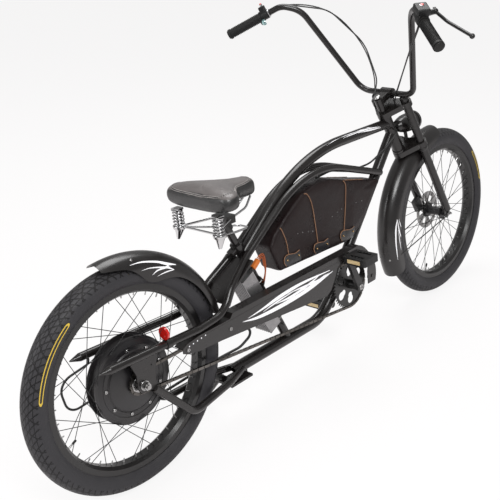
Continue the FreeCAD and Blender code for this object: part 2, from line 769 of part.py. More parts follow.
def pedal(name, side, way):
    """A pedal body with end bars, bored for its axle, and its two reflectors."""
    centre = BOTTOM + way * num("crank_length")
    inner = num("crank_inside") + num("crank_thick") + num("pedal_gap")
    outer = inner + num("pedal_length")
    low, high = sorted((side * inner, side * outer))
    half_width = num("pedal_width") / 2
    half_height = num("pedal_height") / 2
    body = block(
        centre + Vector(-half_width, low, -half_height), centre + Vector(half_width, high, half_height)
    )
    upright = [edge for edge in body.Edges if abs(edge.tangentAt(0).z) > 0.9]
    body = body.makeFillet(9.0, upright)
    windows = []
    for sign in (-1, 1):
        near = centre + Vector(sign * 15.0, low + 18.0, -half_height - 1)
        far = centre + Vector(sign * 29.0, high - 18.0, half_height + 1)
        window_low = Vector(min(near.x, far.x), near.y, near.z)
        window_high = Vector(max(near.x, far.x), far.y, far.z)
        windows.append(block(window_low, window_high))
    pockets = []
    lenses = []
    for sign in (-1, 1):
        face = centre.x + sign * half_width
        depth = 3.0
        proud = 1.0
        pocket_x = sorted((face - sign * depth, face + sign * 5.0))
        lens_x = sorted((face - sign * (depth - GAP), face + sign * proud))
        side_low = (low + high) / 2 - 27.0
        side_high = (low + high) / 2 + 27.0
        tall = 7.0
        pockets.append(
            block(Vector(pocket_x[0], side_low, centre.z - tall), Vector(pocket_x[1], side_high, centre.z + tall))
        )
        lenses.append(
            block(
                Vector(lens_x[0], side_low + GAP, centre.z - tall + GAP),
                Vector(lens_x[1], side_high - GAP, centre.z + tall - GAP),
            )
        )
    start = centre + Vector(0, side * (inner - 1.0), 0)
    bore = cylinder(start, Vector(0, side, 0), num("pedal_axle_radius") + RUN, num("pedal_length") - 4.0)
    feature("pedal_" + name, solids_only(body.cut(windows + pockets + [bore])))
    feature("pedal_reflectors_" + name, Part.makeCompound(lenses))


# Frame tubes. Each tube is a node of its own, cut back to the tube that it is welded to.


DOWN_TOP = on_head(93.6)
DOWN_KNEE = BOTTOM + Vector(56.0, 0, 100.0)
DOWN_BEND = 150.0
DOWN_POINTS = [DOWN_TOP, DOWN_KNEE, BOTTOM]
KEEL_POINTS = [BOTTOM, Vector(BOTTOM.x - 127.0, 0, num("keel_z")), Vector(392.0, 0, num("keel_z") + 4.0)]
TOP_POINTS = [on_head(49.5), Vector(along(831.0), 0, 808.0), on_seat(558.0)]


def stay_points(side):
    """The right or left cantilever tube, from the down tube over the bag and back to its tail tip."""
    front = DOWN_TOP + (DOWN_KNEE - DOWN_TOP) * 0.376 + Vector(0, side * 26.0, 18.4)
    rows = [
        (along(834.0), 32.0, 785.0),
        (along(506.0), 30.5, 567.0),
        (392.0, 52.0, 490.0),
        (352.0, 62.0, 434.0),
        (230.0, 70.0, 431.0),
        (-105.0, 70.0, 449.0),
    ]
    return [front] + [Vector(x, side * y, z) for x, y, z in rows]


STAY_BENDS = [400.0, 260.0, 90.0, 100.0, 180.0]


def chainstay_points(side):
    """A chainstay, from the keel's rear end down and back, then up to the dropout."""
    rows = [
        (440.0, 16.0, 180.0),
        (352.0, 48.0, 182.0),
        (168.0, 72.0, 173.0),
        (34.0, 72.0, 326.0),
    ]
    return [Vector(x, side * y, z) for x, y, z in rows]


CHAINSTAY_BENDS = [90.0, 60.0]
HEAD_RING = 9.0


def swollen(points, bends, alias):
    """A tube with the seating gap added, for cutting other tubes back."""
    return bent_rod(points, bends, num(alias) + GAP)


def head_cutter():
    """The head tube and its two end rings with the seating gap added."""
    tube = cylinder(on_head(-60.0), HEAD_DOWN, num("head_radius") + GAP, 400.0)
    start = num("crown_thick") / 2 + 1.0
    end = start + num("crown_drop") - num("crown_thick") - 2.0
    rings = []
    for spot in (start - GAP, end - HEAD_RING - GAP):
        rings.append(
            cylinder(on_head(spot), HEAD_DOWN, num("head_radius") + 3.0 + GAP, HEAD_RING + 2 * GAP)
        )
    return tube.fuse(rings)


def shell_cutter():
    """The bottom bracket shell with the seating gap added."""
    half = num("bottom_shell_half") + 10.0
    return cylinder(
        BOTTOM - Vector(0, half, 0), Vector(0, 1, 0), num("bottom_shell_radius") + GAP, 2 * half
    )


def seat_cutter():
    """The seat tube with the seating gap added."""
    foot = on_seat(num("keel_z"))
    top = on_seat(num("seat_tube_top") + 60.0)
    return rod(foot, top, num("seat_tube_radius") + GAP)


def frame_tubes():
    """Head tube, down tube, top tube, seat tube, keel, cantilever tubes and chainstays."""
    length = dim("crown_drop") - dim("crown_thick") - 2.0
    bore = dim("steerer_radius") + dim("running_gap")
    tube = dim("head_radius")
    ring = dim("head_radius") + 3.0
    corners = [
        (0, bore),
        (length, bore),
        (length, ring),
        (length - HEAD_RING, ring),
        (length - HEAD_RING, tube),
        (HEAD_RING, tube),
        (HEAD_RING, ring),
        (0, ring),
    ]
    head_start = on_head(num("crown_thick") / 2 + 1.0)
    turned_body("head_tube", corners, Placement(head_start, Rotation(SIDEWAYS, HEAD_DOWN)))

    half = dim("bottom_shell_half")
    bore = dim("spindle_radius") + dim("running_gap")
    wall = dim("bottom_shell_radius")
    corners = [(-half, bore), (half, bore), (half, wall), (-half, wall)]
    turned_body("bottom_shell", corners, Placement(BOTTOM, Rotation()))

    down = bent_rod(DOWN_POINTS, [DOWN_BEND], num("down_radius"))
    feature("down_tube", solids_only(down.cut([head_cutter(), shell_cutter()])))

    keel = bent_rod(KEEL_POINTS, [150.0], num("keel_radius"))
    mouth = side_prism([(380.0, 150.0), (432.0, 150.0), (392.0, 215.0), (380.0, 215.0)], -60.0, 60.0)
    hollow = cylinder(Vector(380.0, 0, 182.0), Vector(1, 0, 0), num("keel_radius") - 3.0, 90.0)
    down_outer = swollen(DOWN_POINTS, [DOWN_BEND], "down_radius")
    keel = keel.cut([shell_cutter(), down_outer, mouth, hollow])
    feature("keel_tube", solids_only(keel))
    keel_outer = swollen(KEEL_POINTS, [150.0], "keel_radius")

    foot = on_seat(num("keel_z"))
    top = on_seat(num("seat_tube_top"))
    seat = rod(foot, top, num("seat_tube_radius"))
    bore_foot = on_seat(num("seat_tube_top") - 160.0)
    bore = rod(bore_foot, on_seat(num("seat_tube_top") + 40.0), num("seat_post_radius") + GAP)
    feature("seat_tube", solids_only(seat.cut([keel_outer, bore])))

    top_tube = bent_rod(TOP_POINTS, [650.0], num("top_radius"))
    feature("top_tube", solids_only(top_tube.cut([head_cutter(), seat_cutter()])))

    top_outer = swollen(TOP_POINTS, [650.0], "top_radius")
    stays = []
    chainstays = []
    for side in (-1, 1):
        points = stay_points(side)
        stay = bent_rod(points, STAY_BENDS, num("stay_radius"))
        tail = (points[-1] - points[-2]).normalize()
        tip = Part.makeCone(num("stay_radius"), 2.0, 34.0, points[-1], tail)
        stays += stay.fuse(tip).cut([down_outer, top_outer, seat_cutter()]).Solids
        low = bent_rod(chainstay_points(side), CHAINSTAY_BENDS, num("chainstay_radius"))
        chainstays += low.cut(keel_outer).Solids
    feature("cantilever_tubes", Part.makeCompound(stays))
    feature("chainstays", Part.makeCompound(chainstays))


# The threadless eyelets above the rear axle, for the struts of a rack.
EYELET_X = 34.0
EYELET_Z = 404.0


def dropouts():
    """The two rear dropout plates between the stay, the chainstay and the axle."""
    middle = num("dropout_inside") + num("dropout_thick") / 2
    low = num("dropout_inside")
    high = low + num("dropout_thick")
    corners = [
        (-42.0, 446.0),
        (66.0, 442.0),
        (46.0, 384.0),
        (40.0, 318.0),
        (16.0, 330.0),
        (-14.0, 330.0),
        (-24.0, 352.0),
        (-22.0, 392.0),
    ]
    plates = []
    for side in (-1, 1):
        side_low, side_high = sorted((side * low, side * high))
        plate = side_prism(corners, side_low, side_high)
        hole = cylinder(
            REAR_HUB + Vector(0, side_low - 5.0, 0), Vector(0, 1, 0), num("motor_axle_radius") + GAP, 20.0
        )
        eyelet_hole = cylinder(
            Vector(EYELET_X, side_low - 5.0, EYELET_Z), Vector(0, 1, 0), num("eyelet_radius"), 20.0
        )
        tools = [
            hole,
            eyelet_hole,
            swollen(stay_points(side), STAY_BENDS, "stay_radius"),
            swollen(chainstay_points(side), CHAINSTAY_BENDS, "chainstay_radius"),
        ]
        plates += plate.cut(tools).Solids
    feature("dropouts", Part.makeCompound(plates))


def hexagon(centre, across, length, way):
    """A six-sided nut or bolt head with its axis to the side."""
    points = []
    for index in range(6):
        angle = math.pi / 3 * index
        reach = across / math.sqrt(3)
        points.append(centre + Vector(reach * math.cos(angle), 0, reach * math.sin(angle)))
    face = Part.Face(Part.makePolygon(points + [points[0]]))
    return face.extrude(Vector(0, way * length, 0))


def rear_axle():
    """The motor's fixed axle with its washers and nuts."""
    half = num("rear_axle_half")
    axle = cylinder(REAR_HUB - Vector(0, half, 0), Vector(0, 1, 0), num("motor_axle_radius"), 2 * half)
    outer = num("dropout_inside") + num("dropout_thick") + GAP
    pieces = [axle]
    for side in (-1, 1):
        face = REAR_HUB + Vector(0, side * outer, 0)
        pieces.append(cylinder(face, Vector(0, side, 0), 15.0, 3.0))
        pieces.append(hexagon(face + Vector(0, side * 3.0, 0), 21.0, 12.0, side))
    inner_right = cylinder(
        REAR_HUB - Vector(0, num("dropout_inside") - GAP, 0), Vector(0, 1, 0), 12.0, 9.0
    )
    inner_left = cylinder(
        REAR_HUB + Vector(0, num("dropout_inside") - GAP, 0), Vector(0, -1, 0), 12.0, 24.0
    )
    pieces += [inner_right, inner_left]
    solid = pieces[0].fuse(pieces[1:])
    feature("rear_axle", solids_only(solid))


def bridge_plate():
    """The slanted plate between the stays that carries the front end of the rear fender."""
    band = [
        (along(500.0), 558.0),
        (404.0, 494.0),
        (374.0, 447.0),
        (379.0, 443.0),
        (408.5, 489.0),
        (along(503.0), 552.0),
    ]
    plate = side_prism(band, -60.0, 60.0)
    tools = [seat_cutter()]
    for side in (-1, 1):
        tools.append(swollen(stay_points(side), STAY_BENDS, "stay_radius"))
    parts = [item for item in plate.cut(tools).Solids if abs(item.CenterOfMass.y) < 1.0]
    inward = (REAR_HUB - Vector(382.0, 0, 450.0)).normalize()
    fender_face = REAR_HUB - inward * (num("tyre_radius") + num("rear_fender_gap") + GAP)
    spacer = cylinder(fender_face, -inward, 6.0, 12.0)
    feature("bridge_plate", solids_only(parts[0].fuse(parts[1:] + [spacer])))


def guard_outline(inset):
    """The guard's side outline, drawn in by an inset, with its round hood over the chainring."""
    top = num("guard_top") - inset
    rear = [
        (150.0, 401.0 - inset),
        (168.0 + inset, 410.0 - inset),
        (220.0, 417.0 - inset),
        (352.0 + inset, 417.0 - inset),
        (366.0 + inset, 431.0 - inset),
    ]
    hood = [(0.0, top), (34.0, top - 1.5), (84.0 - inset, 107.0 - inset), (120.0 - inset, 50.0), (119.0 - inset, -20.0)]
    points = [Vector(*near_bottom(ahead, up), 0) for ahead, up in hood]
    curve = Part.BSplineCurve()
    curve.interpolate([Vector(p.x, 0, p.y) for p in points])
    edges = [curve.toShape()]
    if inset:
        low = [near_bottom(119.0 - inset, -80.0), near_bottom(-173.0, -80.0), (130.0, 300.0), (130.0, 401.0 - inset)]
    else:
        low = [
            near_bottom(-173.0, -20.0),
            near_bottom(-173.0, 25.0),
            (312.0, 361.0),
            (212.0, 368.0),
            (168.0, 377.0),
            (150.0, 386.0),
        ]
    corners = [(curve.EndPoint.x, curve.EndPoint.z)] + low + rear + [(curve.StartPoint.x, curve.StartPoint.z)]
    for first, second in zip(corners, corners[1:]):
        start = Vector(first[0], 0, first[1])
        end = Vector(second[0], 0, second[1])
        if start.distanceToPoint(end) > 0.01:
            edges.append(Part.LineSegment(start, end).toShape())
    return Part.Face(Part.Wire(edges))


def chain_guard():
    """The long chain guard: an outer flank and a rounded roof, with an open window at the chainring."""
    outer = -num("guard_side")
    inner = -num("guard_roof")
    sheet = num("guard_sheet")
    body = guard_outline(0.0).extrude(Vector(0, inner - outer, 0))
    body.translate(Vector(0, outer, 0))
    room = guard_outline(sheet).extrude(Vector(0, inner - outer + 10.0, 0))
    room.translate(Vector(0, outer + sheet, 0))
    window = [
        (-173.0, 25.0),
        (-147.0, 38.0),
        (-119.0, 78.0),
        (-103.0, 110.0),
        (-70.0, 121.0),
        (-30.0, 120.0),
        (10.0, 114.0),
        (42.0, 101.0),
        (66.0, 80.0),
        (78.0, 56.0),
        (73.0, 30.0),
        (73.0, -120.0),
        (-173.0, -120.0),
    ]
    opening = side_prism([near_bottom(*spot) for spot in window], outer - 5.0, inner + 5.0)
    shell = body.cut([room, opening])
    screw = cylinder(Vector(BOTTOM.x + 101.0, outer - 3.0, BOTTOM.z + 3.0), Vector(0, 1, 0), 7.0, 6.0)
    feature("chain_guard", solids_only(shell.fuse(screw)))


def fender_sector(centre, crown, start_deg, end_deg, outline):
    """A fender: a round-topped channel swept about the wheel, trimmed to a side outline."""
    half = num("fender_half")
    sheet = num("fender_sheet")
    core = crown - half
    low = num("tyre_radius") - num("fender_skirt")
    outer_arc = Part.Arc(Vector(0, -half, core), Vector(0, 0, core + half), Vector(0, half, core)).toShape()
    inner_half = half - sheet
    inner_arc = Part.Arc(
        Vector(0, inner_half, core), Vector(0, 0, core + inner_half), Vector(0, -inner_half, core)
    ).toShape()
    edges = [
        outer_arc,
        Part.LineSegment(Vector(0, half, core), Vector(0, half, low)).toShape(),
        Part.LineSegment(Vector(0, half, low), Vector(0, inner_half, low)).toShape(),
        Part.LineSegment(Vector(0, inner_half, low), Vector(0, inner_half, core)).toShape(),
        inner_arc,
        Part.LineSegment(Vector(0, -inner_half, core), Vector(0, -inner_half, low)).toShape(),
        Part.LineSegment(Vector(0, -inner_half, low), Vector(0, -half, low)).toShape(),
        Part.LineSegment(Vector(0, -half, low), Vector(0, -half, core)).toShape(),
    ]
    face = Part.Face(Part.Wire(Part.__sortEdges__(edges)))
    # The section stands straight up; it is turned to the start and swept towards the front end.
    face.rotate(Vector(0, 0, 0), Vector(0, 1, 0), 90.0 - end_deg)
    shell = face.revolve(Vector(0, 0, 0), Vector(0, 1, 0), end_deg - start_deg)
    shell.translate(centre)
    if outline:
        curve = Part.BSplineCurve()
        curve.interpolate([Vector(x, -100.0, z) for x, z in outline[0]])
        closing = [Vector(x, -100.0, z) for x, z in outline[1]]
        edge_list = [curve.toShape()]
        corners = [curve.EndPoint] + closing + [curve.StartPoint]
        for first, second in zip(corners, corners[1:]):
            edge_list.append(Part.LineSegment(first, second).toShape())
        keep = Part.Face(Part.Wire(edge_list)).extrude(Vector(0, 200.0, 0))
        shell = shell.common(keep)
    return solids_only(shell)


def polar_spots(centre, rows):
    """Side-view points about a centre, from (degrees, height above the tread) rows."""
    spots = []
    for angle, above in rows:
        turn = math.radians(angle)
        reach = num("tyre_radius") + above
        spots.append((centre.x + reach * math.cos(turn), centre.z + reach * math.sin(turn)))
    return spots


def fenders():
    """Rear and front fenders with shaped skirts, the front one with its wire stays."""
    rear_rows = [
        (7.9, -3.7),
        (17.7, -13.9),
        (24.4, -15.0),
        (32.5, -15.2),
        (41.4, -17.6),
        (50.6, -24.5),
        (58.3, -39.5),
        (64.6, -53.2),
        (71.4, -54.4),
        (77.2, -36.1),
        (84.1, -12.2),
        (93.2, 2.6),
        (100.0, 17.6),
    ]
    rear_edge = polar_spots(REAR_HUB, rear_rows)
    rear_close = polar_spots(REAR_HUB, [(100.0, 110.0), (60.0, 260.0), (30.0, 260.0), (5.0, 110.0)])
    crown = num("tyre_radius") + num("rear_fender_gap")
    feature("rear_fender", fender_sector(REAR_HUB, crown, 8.0, 98.0, (rear_edge, rear_close)))
    centre = FRONT_HUB + Vector(-10.0, 0, -8.0)
    front_rows = [
        (92.0, 6.0),
        (95.0, -12.0),
        (101.0, -24.0),
        (116.0, -29.0),
        (140.0, -30.0),
        (165.0, -30.0),
        (186.0, -33.0),
        (200.0, -34.0),
        (203.5, -26.0),
        (205.0, -8.0),
    ]
    front_edge = polar_spots(centre, front_rows)
    front_close = polar_spots(centre, [(205.0, 110.0), (170.0, 260.0), (120.0, 260.0), (91.0, 110.0)])
    crown = num("tyre_radius") + num("front_fender_gap")
    shell = fender_sector(centre, crown, 91.0, 205.0, (front_edge, front_close))
    foot = num("crown_drop") + num("crown_thick") / 2 + GAP
    bracket = Part.makeBox(30.0, 24.0, 30.0, Vector(-15.0, -12.0, -30.0))
    bracket.rotate(Vector(0, 0, 0), Vector(0, 1, 0), -(90.0 - num("head_angle")))
    bracket.translate(on_head(foot, 40.0))
    inside = cylinder(centre - Vector(0, 60, 0), Vector(0, 1, 0), crown - 1.0, 120.0)
    wires = []
    for sign in (-1, 1):
        hook = Vector(centre.x - 323.0, sign * (num("fender_half") - 0.5), centre.z - 68.0)
        eye = on_head(num("fork_length") + 10.0, num("fork_offset") - 15.5, sign * 55.0)
        wires.append(rod(hook, eye, 2.2))
    feature("front_fender", solids_only(shell.fuse([bracket.cut(inside)] + wires)))


# Steering: fork, handlebar, lamp and controls.


def crown(down):
    """A fork crown: a thick plate that joins the steerer to both legs."""
    thick = num("crown_thick")
    side = num("leg_side")
    ahead = num("fork_offset")
    wide = num("leg_radius") + 7.0
    pinch = num("leg_radius") + 3.0
    start = down - thick / 2
    hub = cylinder(on_head(start), HEAD_DOWN, 26.0, thick)
    pieces = []
    for sign in (-1, 1):
        pieces.append(cylinder(on_head(start, ahead, sign * side), HEAD_DOWN, wide, thick))
    outline = [
        on_head(start, -18.0, -18.0),
        on_head(start, ahead - 12.0, -side - 14.0),
        on_head(start, ahead + 18.0, -side + 4.0),
        on_head(start, ahead + 10.0, 0.0),
        on_head(start, ahead + 18.0, side - 4.0),
        on_head(start, ahead - 12.0, side + 14.0),
        on_head(start, -18.0, 18.0),
    ]
    web = Part.Face(Part.makePolygon(outline + [outline[0]])).extrude(HEAD_DOWN * thick)
    for sign in (-1, 1):
        spot = on_head(down, ahead + pinch, sign * (side - 30.0))
        pieces.append(cylinder(spot, Vector(0, sign, 0), 5.0, 26.0))
    solid = hub.fuse(pieces + [web])
    holes = [cylinder(on_head(start - 5.0), HEAD_DOWN, num("steerer_radius") + GAP, thick + 10.0)]
    for sign in (-1, 1):
        holes.append(
            cylinder(
                on_head(start - 5.0, ahead, sign * side), HEAD_DOWN, num("leg_radius") + GAP, thick + 10.0
            )
        )
    return solids_only(solid.cut(holes))


def fork():
    """Both crowns, the steerer, the legs with their axle tabs, and the front axle."""
    drop = num("crown_drop")
    feature("crown_upper", crown(0.0))
    feature("crown_lower", crown(drop))
    length = dim("crown_drop") + dim("crown_thick") + 9.0
    radius = dim("steerer_radius")
    top = on_head(-num("crown_thick") / 2 - 6.0)
    corners = [(0, 0), (length, 0), (length, radius), (0, radius)]
    turned_body("steerer", corners, Placement(top, Rotation(SIDEWAYS, HEAD_DOWN)))
    length = num("fork_length")
    ahead = num("fork_offset")
    inside = num("hub_half") + 4.3
    legs = []
    for sign in (-1, 1):
        side = sign * num("leg_side")
        leg = cylinder(on_head(-24.0, ahead, side), HEAD_DOWN, num("leg_radius"), length + 24.0 - 24.0)
        cap = Part.makeSphere(num("leg_radius"), on_head(-24.0, ahead, side))
        tab_low, tab_high = sorted((sign * inside, sign * (inside + 9.0)))
        tab = Part.makeBox(26.0, tab_high - tab_low, 62.0, Vector(-13.0, tab_low, -18.0))
        tab.rotate(Vector(0, 0, 0), Vector(0, 1, 0), -(90.0 - num("head_angle")))
        tab.translate(on_head(length, ahead, 0))
        hole = cylinder(
            on_head(length, ahead, tab_low - 5.0), Vector(0, 1, 0), num("hub_axle_radius") + GAP, 30.0
        )
        legs.append(solids_only(leg.fuse([cap, tab]).cut(hole)))
    feature("fork_legs", Part.makeCompound(legs))
    outer = inside + 9.0 + GAP
    half = outer + 18.0
    axle = cylinder(FRONT_HUB - Vector(0, half, 0), Vector(0, 1, 0), num("hub_axle_radius"), 2 * half)
    pieces = []
    for sign in (-1, 1):
        face = FRONT_HUB + Vector(0, sign * outer, 0)
        pieces.append(hexagon(face, 17.0, 9.0, sign))
        lock = FRONT_HUB + Vector(0, sign * (inside - GAP), 0)
        pieces.append(cylinder(lock, Vector(0, -sign, 0), 9.0, 3.6))
    feature("front_axle", solids_only(axle.fuse(pieces)))


# The handlebar's corners, measured from the top crown on an untwisted bar.
BAR_GRIP = on_head(-439.6, -126.6, 465.0)
BAR_BEND = on_head(-465.4, 14.6, 300.0)
BAR_CREST = on_head(-423.7, 48.6, 248.0)
BAR_BASE = on_head(-53.0, 57.8, 119.0)
GRIP_WAY = (BAR_GRIP - BAR_BEND).normalize()


def twisted(shape):
    """A piece of the handlebar, turned with the bar about the steering axis."""
    shape.rotate(HEAD_TOP, HEAD_DOWN, num("bar_turn"))
    return shape


def twisted_point(point):
    """A point of the handlebar, turned with the bar about the steering axis."""
    return HEAD_TOP + Rotation(HEAD_DOWN, num("bar_turn")).multVec(point - HEAD_TOP)


def handlebar():
    """The tall handlebar, its stem and clamp, and both grips."""
    half = [BAR_GRIP, BAR_BEND, BAR_CREST, BAR_BASE]
    points = half + mirrored(half)[::-1]
    bar = bent_rod(points, [60.0, 100.0, 60.0, 60.0, 100.0, 60.0], num("bar_radius"))
    feature("handlebar", twisted(bar))

    top = -num("crown_thick") / 2 - GAP
    post = cylinder(on_head(top - 62.0), HEAD_DOWN, 15.0, 62.0)
    bore = cylinder(on_head(top - 8.0), HEAD_DOWN, num("steerer_radius") + GAP, 20.0)
    centre = Vector(BAR_BASE.x, 0, BAR_BASE.z)
    clamp = cylinder(centre - Vector(0, 24.0, 0), Vector(0, 1, 0), num("bar_radius") + 8.0, 48.0)
    arm_start = on_head(top - 48.0)
    arm = Part.makeBox((centre - arm_start).Length, 34.0, 24.0, Vector(0, -17.0, -12.0))
    way = centre - arm_start
    arm.rotate(Vector(0, 0, 0), Vector(0, 1, 0), -math.degrees(math.atan2(way.z, way.x)))
    arm.translate(arm_start)
    stem = post.fuse([clamp, arm])
    tube = cylinder(centre - Vector(0, 60.0, 0), Vector(0, 1, 0), num("bar_radius") + GAP, 120.0)
    feature("stem", twisted(solids_only(stem.cut([bore, tube]))))

    grips = []
    for sign in (-1, 1):
        end = Vector(BAR_GRIP.x, sign * BAR_GRIP.y, BAR_GRIP.z)
        way = Vector(GRIP_WAY.x, sign * GRIP_WAY.y, GRIP_WAY.z)
        start = end - way * (num("grip_length") - 4.0)
        grip = cylinder(start, way, num("grip_radius"), num("grip_length"))
        lip = cylinder(start, way, num("grip_radius") + 3.0, 5.0)
        rim_ring = cylinder(end - way * 3.0, way, num("grip_radius") + 2.5, 7.0)
        hole = cylinder(start - way * 5.0, way, num("bar_radius") + GAP, num("grip_length") + 1.3)
        grips.append(twisted(solids_only(grip.fuse([lip, rim_ring]).cut(hole))))
    feature("grips", Part.makeCompound(grips))


def controls():
    """Throttle housing, left switch with its bell, and the right brake lever on its perch."""
    right_way = Vector(GRIP_WAY.x, -GRIP_WAY.y, GRIP_WAY.z)
    end = Vector(BAR_GRIP.x, -BAR_GRIP.y, BAR_GRIP.z)
    grip_start = end - right_way * (num("grip_length") - 4.0)
    bar_hole = cylinder(end - right_way * 190.0, right_way, num("bar_radius") + GAP, 230.0)
    housing_start = grip_start - right_way * 27.0
    housing = cylinder(housing_start, right_way, 21.0, 26.5)
    neck = block(Vector(0.8, -15.0, 4.0), Vector(25.8, 15.0, 26.0))
    pod = block(Vector(-25.0, -24.0, 20.0), Vector(25.8, 20.0, 42.0))
    pod = pod.makeFillet(6.0, pod.Edges).fuse(neck)
    pod.Placement = Placement(housing_start, Rotation(right_way, Vector(), Vector(0, 0, 1), "XZY"))
    throttle = twisted(solids_only(housing.fuse(pod).cut(bar_hole)))

    left_end = BAR_GRIP
    left_start = left_end - GRIP_WAY * (num("grip_length") - 4.0)
    left_hole = cylinder(left_end - GRIP_WAY * 190.0, GRIP_WAY, num("bar_radius") + GAP, 230.0)
    ring = cylinder(left_start - GRIP_WAY * 27.0, GRIP_WAY, 17.5, 26.5)
    key = block(Vector(-26.0, -12.0, 8.0), Vector(-3.0, 12.0, 34.0))
    key = key.makeFillet(4.0, key.Edges)
    key.Placement = Placement(left_start, Rotation(GRIP_WAY, Vector(), Vector(0, 0, 1), "XZY"))
    bell_arm = rod(left_start - GRIP_WAY * 22.0, left_start - GRIP_WAY * 26.0 + Vector(-24.0, 0, -27.0), 5.0)
    bell = Part.makeSphere(9.0, left_start - GRIP_WAY * 26.0 + Vector(-26.0, 0, -30.0))
    switch = twisted(solids_only(ring.fuse([key, bell_arm, bell]).cut(left_hole)))
    feature("bar_controls", Part.makeCompound([throttle, switch]))

    perch_start = housing_start - right_way * 24.0
    perch = cylinder(perch_start, right_way, 18.0, 23.5)
    ahead = Vector(0.80, -0.28, 0.10)
    ahead.normalize()
    middle = perch_start + right_way * 11.0
    knuckle = middle + ahead * 60.0
    neck = rod(middle, knuckle, 9.0)
    elbow = knuckle + Vector(-2.0, -46.0, -30.0)
    tip = knuckle + Vector(-40.0, -161.0, -65.0)
    blade = bent_rod([knuckle, elbow, tip], [60.0], 5.5)
    ball = Part.makeSphere(8.5, tip)
    joint = Part.makeSphere(10.0, knuckle)
    lever = perch.fuse([neck, joint, blade, ball]).cut(bar_hole)
    feature("brake_lever", twisted(solids_only(lever)))


def headlight():
    """The bullet headlight with its lens and its bracket to the lower crown."""
    centre = on_head(127.2, 87.4)
    radius = dim("lamp_radius")
    half = dim("lamp_length") / 2
    corners = [
        (-half, 0),
        (-half, 5.0),
        (-half * 0.94, 13.0),
        (-half * 0.78, 23.0),
        (-half * 0.50, radius * 0.80),
        (-half * 0.15, radius * 0.95),
        (half * 0.20, radius),
        (half * 0.80, radius),
        (half * 0.80, radius + 2.5),
        (half, radius + 2.5),
        (half, radius - 1.5),
        (half - 10.0, radius - 1.5),
        (half - 10.0, 0),
    ]
    ahead = Vector(1, 0, 0)
    spot = Placement(centre, Rotation(SIDEWAYS, ahead))
    turned_body("headlight", corners, spot)
    face = dim("lamp_length") / 2 - 10.0 + dim("seat_gap")
    glass = radius - 1.5 - dim("seat_gap")
    corners = [
        (face, 0),
        (face + 10.0, 0),
        (face + 8.6, glass * 0.5),
        (face + 5.5, glass * 0.85),
        (face + 2.0, glass),
        (face, glass),
    ]
    turned_body("headlight_lens", corners, spot)
    crown_top = on_head(num("crown_drop") - num("crown_thick") / 2 - GAP, num("fork_offset"), 0)
    foot = Part.makeBox(30.0, 26.0, 5.0, Vector(-15.0, -13.0, 0.0))
    foot.rotate(Vector(0, 0, 0), Vector(0, 1, 0), 90.0 - num("head_angle"))
    foot.translate(crown_top)
    post = rod(crown_top, centre - Vector(6.0, 0, 0), 7.0)
    reach = num("lamp_length")
    body = cylinder(centre - ahead * reach * 0.5, ahead, num("lamp_radius") + GAP, reach)
    low_crown = cylinder(on_head(num("crown_drop") - num("crown_thick") / 2 - GAP), HEAD_DOWN, 200.0, 60.0)
    feature("headlight_bracket", solids_only(foot.fuse(post).cut([body, low_crown])))


# Seat, bag, controller and stand.


